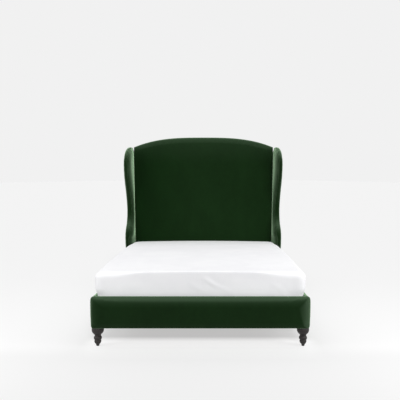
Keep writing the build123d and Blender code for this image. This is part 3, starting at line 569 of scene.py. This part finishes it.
def fold(points, start, stop, width, depth):
    """A soft ridge or furrow along a line between two points, fading at its ends."""
    start, stop = np.array(start), np.array(stop)
    run = stop - start
    share = np.clip((points - start) @ run / (run @ run), 0.0, 1.0)
    away = np.linalg.norm(points - (start + share[:, None] * run), axis=1)
    taper = np.sin(np.pi * np.clip(share * 0.9 + 0.05, 0.0, 1.0))
    return depth * taper * np.exp(-((away / width) ** 2))


def unit(vectors):
    """The vectors at length 1."""
    return vectors / np.linalg.norm(vectors, axis=1)[:, None]


def tube(name, path, radius, made, closed):
    """A thin round strand along a path, for seams and hems."""
    sides = 8
    path = np.array(path)
    count = len(path)
    ahead = np.roll(path, -1, axis=0) - path
    back = path - np.roll(path, 1, axis=0)
    if not closed:
        ahead[-1] = back[-1]
        back[0] = ahead[0]
    along = unit(unit(ahead) + unit(back))
    upright = np.abs(along[:, [2]]) > 0.9
    guide = np.where(upright, [[1.0, 0.0, 0.0]], [[0.0, 0.0, 1.0]])
    first = unit(np.cross(along, guide))
    second = np.cross(along, first)
    vertices, faces = [], []
    for i in range(count):
        for k in range(sides):
            turn = 2.0 * math.pi * k / sides
            vertices.append(path[i] + radius * (math.cos(turn) * first[i] + math.sin(turn) * second[i]))
    for i in range(count if closed else count - 1):
        j = (i + 1) % count
        for k in range(sides):
            m = (k + 1) % sides
            faces.append((i * sides + k, i * sides + m, j * sides + m, j * sides + k))
    if not closed:
        faces.append(tuple(range(sides)))
        faces.append(tuple(range((count - 1) * sides, count * sides))[::-1])
    return mesh_object(name, vertices, faces, made)


# Upholstery


rail_low, rail_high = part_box("foot_rail_cover")
head_low, head_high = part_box("headboard_cover")
wing_low, wing_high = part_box("right_wing_cover")
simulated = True

# The headboard's half width beside the mattress, the height where it leans out, and its arch
side_half = 0.7375
flare_from = 0.551
arch_rise = 0.1065

# The wing's depth, the lines of its inner face, nose and outer face, and the round of its nose
wing_depth = 0.262
hollow_start, hollow_slope, hollow_bend = 0.738, 0.26613, 0.5496
nose_half = 0.770
outer_start, outer_slope = 0.8146, 0.0571
nose_across, nose_least = 0.046, 0.012
nose_heights = (0.4, 0.66, 0.82, 0.9, 1.1, 1.3, 1.5)
nose_reaches = (0.07, 0.08, 0.055, 0.06, 0.09, 0.11, 0.09)
wing_voxel, rail_voxel = 0.008, 0.009


def dress(thing, body, slot_name, *nodes):
    """Rides a piece on its body and hides the nodes it stands for; its slot name is not used."""
    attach(thing, body)
    if nodes:
        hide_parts(*nodes)


def headboard_half(z):
    """Half the headboard's width at a height: upright beside the mattress, wider above it."""
    share = np.clip((z - flare_from) / (head_high.z - arch_rise - flare_from), 0.0, 1.0)
    return side_half + (head_high.x - side_half) * share


def headboard_place(u, v, low, inset=0.0):
    """A point of the headboard's outline plan, for u from -1 to 1 across and v from 0 to 1 up."""
    top = head_high.z - inset - arch_rise * np.abs(u) ** 3
    z = low + v * (top - low)
    return u * (headboard_half(z) - inset), z, top - low


def rounding(share):
    """How far a quarter circle falls away, for a share of its radius."""
    return 1.0 - np.sqrt(np.maximum(1.0 - share * share, 0.0))


def edge_steps(span, step):
    """Distances from one edge to the other, closer together near both."""
    near = [0.0, 0.0035, 0.009, 0.017, 0.027]
    count = max(2, round((span - 2 * near[-1]) / step))
    middle = [near[-1] + (span - 2 * near[-1]) * i / count for i in range(1, count)]
    return np.array(near + middle + [span - n for n in near[::-1]]) / span


def headboard_skin():
    """The headboard's velvet: a closed skin with a rolled front edge all round."""
    step, levels = 0.0125, 6
    side_roll = 0.007
    top_roll, top_roll_height = 0.034, 0.11
    foot_roll, foot_roll_height = 0.01, 0.02
    low, front, back = head_low.z, head_low.y, head_high.y + 0.0003
    us = 2.0 * edge_steps(2.0 * head_high.x, step) - 1.0
    vs = edge_steps(head_high.z - low, step)
    u, v = np.meshgrid(us, vs)
    x, z, tall = headboard_place(u, v, low)
    beside = 1.0 - np.clip((1.0 - np.abs(u)) * head_high.x / side_roll, 0.0, 1.0)
    below = 1.0 - np.clip((1.0 - v) * tall * 0.95 / top_roll_height, 0.0, 1.0)
    under = 1.0 - np.clip(v * tall / foot_roll_height, 0.0, 1.0)
    rolls = (side_roll * rounding(beside), top_roll * rounding(below), foot_roll * rounding(under))
    y = front + np.maximum.reduce(rolls)
    rows, columns = u.shape
    vertices = [np.stack([x.ravel(), y.ravel(), z.ravel()], axis=1)]
    faces = grid_faces(rows, columns)
    rim = rim_of(rows, columns)
    edge = vertices[0][rim]
    last, count = rim, rows * columns
    for level in range(1, levels):
        ring = edge.copy()
        ring[:, 1] += (back - ring[:, 1]) * level / levels
        vertices.append(ring)
        current = np.arange(count, count + len(rim))
        faces += bridged(last, current)
        last, count = current, count + len(rim)
    behind = vertices[0].copy()
    behind[:, 1] = back
    vertices.append(behind)
    faces += bridged(last, rim + count)
    faces += grid_faces(rows, columns, count, True)
    return mesh_object("headboard_pad", np.concatenate(vertices), faces, panel_velvet_painted_shade)


def headboard_allowed(points):
    """Where the headboard's front may swell: not at its rim, its back or its bottom."""
    inside = headboard_half(points[:, 2]) - np.abs(points[:, 0])
    below = head_high.z - arch_rise * np.abs(points[:, 0] / head_high.x) ** 3 - points[:, 2]
    ahead = eased(head_low.y + 0.05 - points[:, 1], 0.0, 0.03)
    inward = 0.25 + 0.75 * eased(np.minimum(inside, below), 0.0, 0.06)
    return ahead * eased(points[:, 2], 0.3, 0.4) * inward


headboard_pad = headboard_skin()
if simulated:
    puffed(headboard_pad, 14, 0.008, headboard_allowed)
subdivided(headboard_pad)
dress(headboard_pad, "bed_frame", "velvet", "headboard_cover", "headboard_foam")


def wing_outline(points):
    """The front and top outline of a wing seen from its side, as close (y, z) points."""
    step = 0.009
    rows = np.floor((points[:, 2] - rail_high.z - 0.004) / step).astype(int)
    front = np.full(rows.max() + 1, np.inf)
    np.minimum.at(front, rows[rows >= 0], points[rows >= 0, 1])
    row_z = rail_high.z + 0.004 + (np.arange(len(front)) + 0.5) * step
    columns = np.floor((points[:, 1] - wing_low.y) / step).astype(int)
    above = np.full(columns.max() + 1, -np.inf)
    np.maximum.at(above, columns, points[:, 2])
    column_y = wing_low.y + (np.arange(len(above)) + 0.5) * step
    found = []
    for line, other, swap in ((front[:-1], row_z[:-1], False), (above[:-1], column_y[:-1], True)):
        line = np.convolve(np.pad(line, 1, mode="edge"), (0.25, 0.5, 0.25), "valid")
        fine = np.arange(other[0], other[-1], 0.0015)
        values = np.interp(fine, other, line)
        found += zip(fine, values) if swap else zip(values, fine)
    return found


def swollen_nose(thing, side):
    """Rounds the wing's inner front edge broadly, so that its inner face swells out."""
    points = points_of(thing)
    outline = wing_outline(points)
    tree = kdtree.KDTree(len(outline))
    for index, (y, z) in enumerate(outline):
        tree.insert((y, z, 0.0), index)
    tree.balance()
    found = [tree.find((p[1], p[2], 0.0)) for p in points]
    nearest = np.array([hit[0][:2] for hit in found])
    away = np.array([hit[2] for hit in found])
    depth = np.clip(head_low.y - points[:, 1], 0.0, wing_depth)
    root = headboard_half(points[:, 2]) + 0.0005
    hollow = np.maximum(hollow_start + hollow_slope * depth - hollow_bend * depth * depth, root)
    convex = np.minimum(root + (nose_half - root) * (depth / wing_depth) ** 2, hollow)
    outer = outer_start + outer_slope * depth
    x = side * points[:, 0]
    share = np.clip((x - hollow) / (outer - hollow), 0.0, 1.0)
    high = eased(points[:, 2], 0.56, 0.63)
    x += (convex - hollow) * (1.0 - share) * high
    inner = hollow + (convex - hollow) * high
    local = np.interp(points[:, 2], nose_heights, nose_reaches)
    reach = local * eased(points[:, 2], 0.38, 0.5) + nose_least
    across, along = rounded_off(x - inner, away, nose_across, reach)
    x = inner + across
    push = along - away
    way = points[:, 1:] - nearest
    way[:, 0] *= points[:, 1] < head_low.y + 0.02
    length = np.maximum(np.linalg.norm(way, axis=1), 1e-6)
    points[:, 0] = side * x
    points[:, 1:] += way * (push / length)[:, None] * (away > 0.001)[:, None]
    set_points(thing, points)


def wing_pad(side, prefix):
    """One wing's velvet pad, with the pulls where the cover goes round the front edge's hollow."""
    parts = [prefix + "_wing_cover", prefix + "_wing_foam", prefix + "_wing_core", "wing_battens"]
    thing = skin(prefix + "_wing_pad", parts, velvet, wing_voxel, side)
    swollen_nose(thing, side)

    def allowed(points):
        inner = eased(head_low.y - 0.01 - points[:, 1], 0.0, 0.05)
        outer = eased(head_low.y + 0.06 - points[:, 1], 0.0, 0.18)
        share = eased(side * points[:, 0], 0.776, 0.800)
        return inner + (outer - inner) * share

    if simulated:
        puffed(thing, 12, 0.004, allowed)
    subdivided(thing)

    def pulls(points):
        high = np.zeros(len(points))
        for z, reach, drop, depth in (
            (0.66, 0.16, 0.05, -0.0022), (0.71, 0.13, 0.02, 0.0018), (0.745, 0.12, -0.015, -0.0022),
            (0.79, 0.10, -0.03, 0.0016), (0.60, 0.17, 0.045, 0.0018), (0.545, 0.16, 0.03, -0.0016),
            (1.32, 0.24, -0.04, -0.0014), (1.39, 0.25, -0.03, 0.0012),
        ):
            for face in (wing_low.x + 0.006, wing_high.x - 0.006):
                start = (side * face, head_low.y - reach, z)
                stop = (side * (face + (0.79 - face) * 0.9), head_low.y - reach - 0.03, z + drop)
                high += fold(points, start, stop, 0.011, depth)
        return high

    lifted(thing, pulls)
    dress(thing, "bed_frame", "velvet", prefix + "_wing_cover", prefix + "_wing_foam")


wing_pad(-1, "left")
wing_pad(1, "right")


def foot_allowed(points):
    """Where the foot rail may swell: its front, its top roll and its ends."""
    ahead = eased(rail_high.y - 0.008 - points[:, 1], 0.0, 0.02)
    return ahead * eased(points[:, 2], rail_low.z + 0.002, rail_low.z + 0.04)


def rolled_rail(thing):
    """Rolls the foot rail's top and ends over broadly, as thick wadding does, with soft corners."""
    top, end, corner_power = 0.095, 0.115, 8
    ahead_by, more_at_ends, widened = 0.038, 0.006, 1.007
    points = points_of(thing)
    above = np.clip(1.0 - (rail_high.z - points[:, 2]) / top, 0.0, None)
    outer = np.clip(1.0 - (rail_high.x - np.abs(points[:, 0])) / end, 0.0, None)
    weight = above ** corner_power + outer ** corner_power
    reach = ahead_by + more_at_ends * outer ** corner_power / np.maximum(weight, 1e-12)
    front = np.clip(1.0 - (points[:, 1] - rail_low.y) / reach, 0.0, None)
    out = np.maximum(np.sqrt(weight ** (2 / corner_power) + front * front), 1.0)
    rolled = weight > 0.0
    points[:, 2] = np.where(above > 0.0, rail_high.z - top * (1.0 - above / out), points[:, 2])
    moved = np.sign(points[:, 0]) * (rail_high.x - end * (1.0 - outer / out))
    points[:, 0] = np.where(outer > 0.0, moved, points[:, 0]) * widened
    ahead = rail_low.y + reach * (1.0 - front / out)
    points[:, 1] = np.where(rolled & (front > 0.0), ahead, points[:, 1])
    set_points(thing, points)


def turned_under(points):
    """The lower edge of a rail, where the velvet goes round under the board."""
    return eased(rail_low.z + 0.014 - points[:, 2], 0.0, 0.008)


def foot_proud(points):
    """How far the foot rail's velvet stands off its board along the lower edge and the back edge."""
    behind = eased(points[:, 1] - rail_high.y + 0.014, 0.0, 0.008)
    return 0.0015 * np.maximum(turned_under(points), behind)


foot_rail_parts = ["foot_rail_cover", "foot_rail_foam", "foot_rail_board"]
foot_rail_pad = skin("foot_rail_pad", foot_rail_parts, rail_velvet_painted_highlight, rail_voxel)
rolled_rail(foot_rail_pad)
if simulated:
    puffed(foot_rail_pad, 12, 0.005, foot_allowed)
lifted(foot_rail_pad, foot_proud)
subdivided(foot_rail_pad)
dress(foot_rail_pad, "bed_frame", "velvet", "foot_rail_cover", "foot_rail_foam")


def side_pad(side, prefix):
    """One side rail's velvet pad."""
    parts = [prefix + "_rail_cover", prefix + "_rail_foam", prefix + "_rail_board"]
    thing = skin(prefix + "_rail_pad", parts, velvet, rail_voxel)

    def allowed(points):
        outward = eased(side * points[:, 0], 0.757, 0.775)
        upward = eased(points[:, 2], rail_low.z + 0.002, rail_low.z + 0.04)
        from_foot = eased(points[:, 1], -1.03, -0.99)
        from_head = eased(-points[:, 1], -0.983, -0.95)
        return outward * upward * from_foot * from_head

    if simulated:
        puffed(thing, 12, 0.005, allowed)
    low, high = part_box(prefix + "_rail_cover")

    def proud(points):
        front = eased(low.y + 0.014 - points[:, 1], 0.0, 0.008)
        back = eased(points[:, 1] - high.y + 0.014, 0.0, 0.008)
        inner = eased(0.772 - side * points[:, 0], 0.0, 0.008)
        beside = 0.0017 * np.maximum(inner, turned_under(points))
        return np.maximum(beside, 0.0024 * np.maximum(front, back))

    lifted(thing, proud)
    subdivided(thing)
    dress(thing, "bed_frame", "velvet", prefix + "_rail_cover", prefix + "_rail_foam")


side_pad(-1, "left")
side_pad(1, "right")


# Mattress and sheet


bed_low, bed_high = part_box("mattress_ticking")
mattress_parts = (
    "mattress_ticking", "mattress_comfort_layer", "mattress_spring_unit", "mattress_base_layer",
)
middle_y = (bed_high.y + bed_low.y) / 2
half_x, half_y = 0.750, (bed_high.y - bed_low.y) / 2 - 0.007

# The corners of the mattress's plan, the crown of its top, its lower edge, and the sheet's hem
foot_corner, head_corner = 0.052, 0.088
crown_diameter = 62.5
base_edge = 0.022
turned_in = 0.070


def bed_plan(u, v, inset):
    """A point of the mattress's rounded plan, for u and v from -1 to 1, drawn in by the inset."""
    corner = np.where(v < 0.0, foot_corner, head_corner) - inset
    spans = (half_x - inset, half_y - inset)
    along = [np.abs(share) * span for share, span in zip((u, v), spans)]
    a, b = [np.clip((value - span + corner) / corner, 0.0, 1.0) for value, span in zip(along, spans)]
    both = (a > 0.0) & (b > 0.0)
    x = np.where(both, spans[0] - corner + corner * a * np.sqrt(1.0 - b * b / 2.0), along[0])
    y = np.where(both, spans[1] - corner + corner * b * np.sqrt(1.0 - a * a / 2.0), along[1])
    return np.sign(u) * x, np.sign(v) * y + middle_y


def bed_swell(z, u, v):
    """How far the side stands out at a height, as it settles over the rails.
    It is flat along the foot and between the wings."""
    everywhere, over_rails, before_wings = 0.0035, 0.0150, 0.001
    before = 1.0 - eased(v, 0.62, 0.80)
    over = eased(z, 0.362, 0.402) * (1.0 - eased(z, 0.515, bed_high.z - 0.004) * 0.35)
    beside = eased(np.abs(u), 0.86, 1.0) * before
    return everywhere + over * (over_rails * beside + before_wings * before)


def bed_skin(name, made, off, closed):
    """The mattress as rings from its top to its underside, off by a small distance."""
    step = 0.026
    us = 2.0 * edge_steps(2.0 * half_x, step) - 1.0
    vs = 2.0 * edge_steps(2.0 * half_y, step) - 1.0
    u, v = np.meshgrid(us, vs)
    rows, columns = u.shape
    top, low = bed_high.z, bed_low.z
    front_middle = eased(-v, 0.9, 1.0) * (1.0 - eased(np.abs(u), 0.50, 0.88))
    soft = 0.040 - 0.033 * front_middle
    x, y = bed_plan(u, v, soft)
    z = top + off - (x * x + (y - middle_y) ** 2) / crown_diameter
    vertices = [np.stack([x.ravel(), y.ravel(), z.ravel()], axis=1)]
    faces = grid_faces(rows, columns)
    rim = rim_of(rows, columns)
    ru, rv, rs, shelf = u.ravel()[rim], v.ravel()[rim], soft.ravel()[rim], z.ravel()[rim]
    levels = [("edge", t) for t in (0.2, 0.4, 0.6, 0.8)]
    levels += [("side", t) for t in np.linspace(0.0, 1.0, 12)]
    levels += [("under", t) for t in (0.3, 0.6, 0.85)]
    levels += [("base", t) for t in np.linspace(0.0, 1.0, 5)]
    before, count = rim, rows * columns
    for kind, t in levels:
        turn = t * math.pi / 2.0
        if kind == "edge":
            swell = bed_swell(shelf - rs, ru, rv) * math.sin(turn)
            inset = rs * (1.0 - math.sin(turn)) - swell
            height = shelf - rs * (1.0 - math.cos(turn))
        elif kind == "side":
            height = (shelf - rs) * (1.0 - t) + (low + base_edge) * t
            inset = -bed_swell(height, ru, rv) * (1.0 - 0.8 * t ** 3)
        elif kind == "under":
            inset = np.full(len(rim), base_edge * (1.0 - math.cos(turn)) - 0.001)
            height = np.full(len(rim), low + base_edge * (1.0 - math.sin(turn)) - off)
        else:
            inset = np.full(len(rim), base_edge + 0.048 * t)
            height = np.full(len(rim), low - off)
        px, py = bed_plan(ru, rv, inset - off)
        vertices.append(np.stack([px, py, height], axis=1))
        current = np.arange(count, count + len(rim))
        faces += bridged(before, current)
        before, count = current, count + len(rim)
    if closed:
        bx, by = bed_plan(u, v, 0.071)
        vertices.append(np.stack([bx.ravel(), by.ravel(), np.full(u.size, low)], axis=1))
        faces += bridged(before, rim + count)
        faces += grid_faces(rows, columns, count, True)
    return mesh_object(name, np.concatenate(vertices), faces, made)


mattress = bed_skin("mattress_pad", ticking_cloth, 0.0, True)
subdivided(mattress)
dress(mattress, "mattress", "ticking", *mattress_parts)


def fitted_sheet():
    """The fitted sheet: stretched over the mattress, open underneath inside its hem."""
    thing = bed_skin("fitted_sheet_cloth", cotton, 0.0012, False)
    subdivided(thing)

    def rumples(points):
        high = np.full(len(points), 0.0004)
        front = bed_low.y
        for x0, z0, x1, z1, width, depth in (
            (0.01, 0.50, 0.13, 0.42, 0.014, 0.0040), (0.05, 0.505, 0.17, 0.43, 0.012, -0.0030),
            (-0.10, 0.47, 0.04, 0.38, 0.018, 0.0022), (0.10, 0.45, 0.24, 0.37, 0.018, 0.0020),
            (-0.52, 0.47, -0.60, 0.37, 0.022, 0.0016), (0.50, 0.46, 0.62, 0.38, 0.020, 0.0016),
        ):
            high += fold(points, (x0, front, z0), (x1, front, z1), width, depth)
        for sx in (-1, 1):
            for sy in (-1, 1):
                corner_x = sx * (bed_high.x - 0.02)
                corner_y = middle_y + sy * ((bed_high.y - bed_low.y) / 2 - 0.02)
                corner = np.array([corner_x, corner_y, 0.32])
                for turn, depth in ((0.25, 0.0022), (0.55, -0.0018), (0.85, 0.0020), (1.15, -0.0016)):
                    for along in (0, 1):
                        stop = corner.copy()
                        stop[along] -= (sx, sy)[along] * 0.20 * math.cos(turn)
                        stop[2] += 0.20 * math.sin(turn)
                        high += fold(points, corner, stop, 0.016, depth)
        gathers = 0.0010 * np.sin(points[:, 0] * 260.0) * np.sin(points[:, 1] * 260.0)
        high += gathers * eased(-points[:, 2], -bed_low.z - 0.012, -bed_low.z)
        return 0.5 * (high + np.sqrt(high * high + 0.0008 ** 2))

    lifted(thing, rumples)
    return thing


sheet = fitted_sheet()
dress(sheet, "mattress", "sheet", "fitted_sheet")


def sheet_hem():
    """The gathered elastic hem round the open underside of the fitted sheet."""
    turns = np.linspace(-1.0, 1.0, 141)[:-1]
    one = np.ones(len(turns))
    u = np.concatenate([turns, one, -turns, -one])
    v = np.concatenate([-one, turns, one, -turns])
    x, y = bed_plan(u, v, turned_in)
    wave_up = 0.0007 * np.sin(np.arange(len(u)) * 1.7)
    path = np.stack([x, y, bed_low.z + 0.0006 + wave_up], axis=1)
    keep = np.linalg.norm(path - np.roll(path, 1, axis=0), axis=1) > 0.001
    return tube("sheet_hem", path[keep], 0.0024, cotton, True)


dress(sheet_hem(), "mattress", "sheet")


# Lining at the back of the headboard


def back_lining():
    """Black woven lining over the back, stapled round its edge, with slack between the staples."""
    low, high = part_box("headboard_lining")
    inset, off_floor = 0.012, 0.0015
    across, up = 120, 130
    vertices = []
    for j in range(up + 1):
        for i in range(across + 1):
            u = -1.0 + 2.0 * i / across
            v = j / up
            x, z = headboard_place(u, v, low.z + off_floor, inset)[:2]
            edge = min(1.0 - abs(u), 2 * v, 2 * (1.0 - v))
            slack = 0.0007 * math.sin(34 * u) * math.sin(27 * v) * min(1.0, edge * 6)
            y = (low.y + high.y) / 2 + 0.0006 - slack * 0.5
            vertices.append((x, y, z))
    faces = grid_faces(up + 1, across + 1, 0, True)
    thing = mesh_object("back_lining", vertices, faces, lining_cloth)
    dress(thing, "bed_frame", "lining", "headboard_lining")


back_lining()


def velvet_tails():
    """The velvet's tails, turned over the seam of each post and wing and stapled flat behind."""
    low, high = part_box("headboard_lining")
    rows, seam_top = 80, 1.45
    section = (
        (0.026, 0.0001), (0.0019, 0.0001), (0.0019, -0.034), (0.0009, -0.034), (0.0009, -0.0006),
        (-0.009, -0.0006), (-0.009, 0.0001), (0.0010, 0.0005), (0.014, 0.0008), (0.026, 0.0005),
    )
    count = len(section)
    vertices, faces = [], []
    for way in (-1, 1):
        first = len(vertices)
        for j in range(rows + 1):
            z = low.z + 0.0012 + (seam_top - low.z) * j / rows
            edge = float(headboard_half(z))
            for x, y in section:
                vertices.append((way * (edge - x), low.y + y, z))
        for j in range(rows):
            for k in range(count):
                m = (k + 1) % count
                a, b = first + j * count, first + (j + 1) * count
                face = (a + k, a + m, b + m, b + k)
                faces.append(face if way > 0 else face[::-1])
        for a, turned in ((first, way < 0), (first + rows * count, way > 0)):
            ring = tuple(range(a, a + count))
            faces.append(ring if turned else ring[::-1])
    return mesh_object("velvet_tails", vertices, faces, velvet)


dress(velvet_tails(), "bed_frame", "velvet")


def staples():
    """Wire staples that hold the lining along its edge, as one mesh of small bridges."""
    low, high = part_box("headboard_lining")
    half_width, half_wire, crown, splay = 0.0055, 0.0006, 0.0008, 0.0006
    places = []
    for share in np.linspace(-0.97, 0.97, 45):
        x, z = headboard_place(share, 1.0, low.z + 0.006, 0.020)[:2]
        tilt = -math.copysign(3.0 * arch_rise * share * share / high.x, share)
        places.append((x, z, math.atan(tilt)))
    for height in np.linspace(low.z + 0.03, high.z - arch_rise - 0.05, 36):
        for way in (-1, 1):
            places.append((way * (headboard_half(height) - 0.018), height, math.pi / 2.0))
    vertices, faces = [], []
    for x, z, turn in places:
        first = len(vertices)
        for across, up, out in (
            (-1, -1, 0), (1, -1, 0), (1, 1, 0), (-1, 1, 0),
            (-1, -1, 1), (1, -1, 1), (1, 1, 1), (-1, 1, 1),
        ):
            a, b = across * (half_width - splay * out), up * half_wire
            vertices.append((
                x + a * math.cos(turn) - b * math.sin(turn),
                high.y + 0.0002 + crown * out,
                z + a * math.sin(turn) + b * math.cos(turn),
            ))
        for face in (
            (0, 1, 2, 3), (4, 7, 6, 5), (0, 4, 5, 1),
            (1, 5, 6, 2), (2, 6, 7, 3), (3, 7, 4, 0),
        ):
            faces.append(tuple(first + i for i in face))
    return mesh_object("lining_staples", vertices, faces, steel)


dress(staples(), "bed_frame", "steel")


def edge_welt():
    """The flat welt that closes the velvet along the back edge of the headboard."""
    levels = np.linspace(0.5, 1.0, 60)
    places = [(-1.0, v) for v in levels]
    places += [(u, 1.0) for u in np.linspace(-1.0, 1.0, 121)[1:-1]]
    places += [(1.0, v) for v in levels[::-1]]
    path = []
    for u, v in places:
        x, z = headboard_place(u, v, head_low.z)[:2]
        path.append((float(x), head_high.y - 0.004, float(z)))
    return tube("headboard_welt", path, 0.0028, velvet, False)


dress(edge_welt(), "bed_frame", "velvet")


# Floor, lights and camera


def seen_directly(tree):
    """1 for rays from the camera or through gloss and glass, and 0 for the rest."""
    path = tree.nodes.new("ShaderNodeLightPath").outputs
    seen = math_node(tree, "MAXIMUM", path["Is Camera Ray"], path["Is Glossy Ray"])
    return math_node(tree, "MAXIMUM", seen, path["Is Transmission Ray"])


def floor_material():
    """Pale floor with the object's shadow, and painted light that lifts the shadow in front of the bed
    and beside it and brightens the floor towards the back.
    """
    made = bpy.data.materials.new("pale_floor")
    tree, output = bare_tree(made, "ShaderNodeOutputMaterial")
    matt = tree.nodes.new("ShaderNodeBsdfDiffuse")
    matt.inputs["Color"].default_value = (*grey(0.375), 1.0)
    glow = tree.nodes.new("ShaderNodeEmission")
    glow.inputs["Color"].default_value = (*grey(1.0), 1.0)
    spot = axes_of(tree, tree.nodes.new("ShaderNodeTexCoord").outputs["Object"])
    # Glow for camera and glossy rays: an even backdrop level, with painted light rising towards the
    # back
    backdrop_and_painted_far_light = stepped(tree, spot["Y"], -1.5, 0.4, 0.477, 0.518)
    # Painted light beside the bed, where its shade falls on the floor
    beside = stepped(tree, math_node(tree, "ABSOLUTE", spot["X"]), 0.74, 0.88, 0.0, 1.0)
    painted_light_beside_amount = stepped(tree, spot["Y"], -1.32, -1.0, 0.0, 0.055)
    painted_light_beside = math_node(tree, "MULTIPLY", beside, painted_light_beside_amount)
    # Painted light under and in front of the foot rail, lifting the bed's shadow there
    painted_front_light_levels = (
        (0.10, 0.0), (0.30, 0.045), (0.47, 0.11), (0.60, 0.215),
        (0.69, 0.26), (0.76, 0.16), (0.87, 0.0),
    )
    along = stepped(tree, spot["Y"], -1.4, -0.7, 0.0, 1.0, "LINEAR")
    ahead = ramp(tree, along, [(share, grey(level)) for share, level in painted_front_light_levels])
    middle = math_node(tree, "SUBTRACT", 1.0, beside)
    painted_light_ahead = math_node(tree, "MULTIPLY", middle, ahead)
    level = math_node(tree, "ADD", backdrop_and_painted_far_light, math_node(tree, "ADD", painted_light_beside, painted_light_ahead))
    tree.links.new(math_node(tree, "MULTIPLY", seen_directly(tree), level), glow.inputs["Strength"])
    both = tree.nodes.new("ShaderNodeAddShader")
    tree.links.new(matt.outputs[0], both.inputs[0])
    tree.links.new(glow.outputs[0], both.inputs[1])
    tree.links.new(both.outputs[0], output.inputs["Surface"])
    return made


floor_corners = [(-60, -30, 0), (60, -30, 0), (60, 400, 0), (-60, 400, 0)]
floor = mesh_object("floor", floor_corners, [(0, 1, 2, 3)], floor_material())

world = bpy.data.worlds.new("studio")
scene.world = world
sky, sky_out = bare_tree(world, "ShaderNodeOutputWorld")
sky_glow = sky.nodes.new("ShaderNodeBackground")
sky_glow.inputs["Color"].default_value = (*grey(1.0), 1.0)
sky_light, seen_more = 0.58, 0.30
sky_level = math_node(sky, "MULTIPLY_ADD", seen_directly(sky), seen_more, sky_light)
sky.links.new(sky_level, sky_glow.inputs["Strength"])
sky.links.new(sky_glow.outputs[0], sky_out.inputs["Surface"])


def lamp(name, kind, power, towards, place=(0.0, 0.0, 0.0)):
    """A lamp at a place, shining away from the direction given."""
    data = bpy.data.lights.new(name, kind)
    data.energy = power
    thing = placed(name, data)
    thing.location = place
    thing.rotation_euler = Vector(towards).to_track_quat("Z", "Y").to_euler()
    return data


def sun(name, strength, azimuth, elevation, softness):
    """A wide soft sun from a direction; azimuth 0 is in front of the foot and 90 at the right."""
    a, e = math.radians(azimuth), math.radians(elevation)
    towards = (math.sin(a) * math.cos(e), -math.cos(a) * math.cos(e), math.sin(e))
    lamp(name, "SUN", strength, towards).angle = math.radians(softness)


def softbox(name, power, place, target, size):
    """A square area lamp standing beside or above the bed."""
    lamp(name, "AREA", power, Vector(place) - Vector(target), place).size = size


sun("front_key", 0.75, azimuth=12, elevation=29, softness=8)
sun("overhead", 0.58, azimuth=0, elevation=82, softness=60)
softbox("right_box", 22.0, (2.6, -1.9, 1.2), (0.7, -0.9, 0.5), 0.9)
softbox("left_box", 18.0, (-2.6, -1.9, 1.2), (-0.7, -0.9, 0.5), 0.9)
softbox("top_box", 5.2, (0.0, 0.30, 2.7), (0.0, 0.50, 0.55), 1.3)

camera_data = bpy.data.cameras.new("camera")
camera = placed("camera", camera_data)
camera_data.sensor_width = 36.0
camera_data.lens = 49.86
camera_data.shift_x = -0.0235
camera_data.shift_y = -0.05375
camera_data.clip_end = 500.0
camera.location = (0.065, -5.027, 1.209)
camera.rotation_euler = (math.radians(90.0), 0.0, 0.0)
scene.camera = camera
scene.view_settings.view_transform = "Standard"
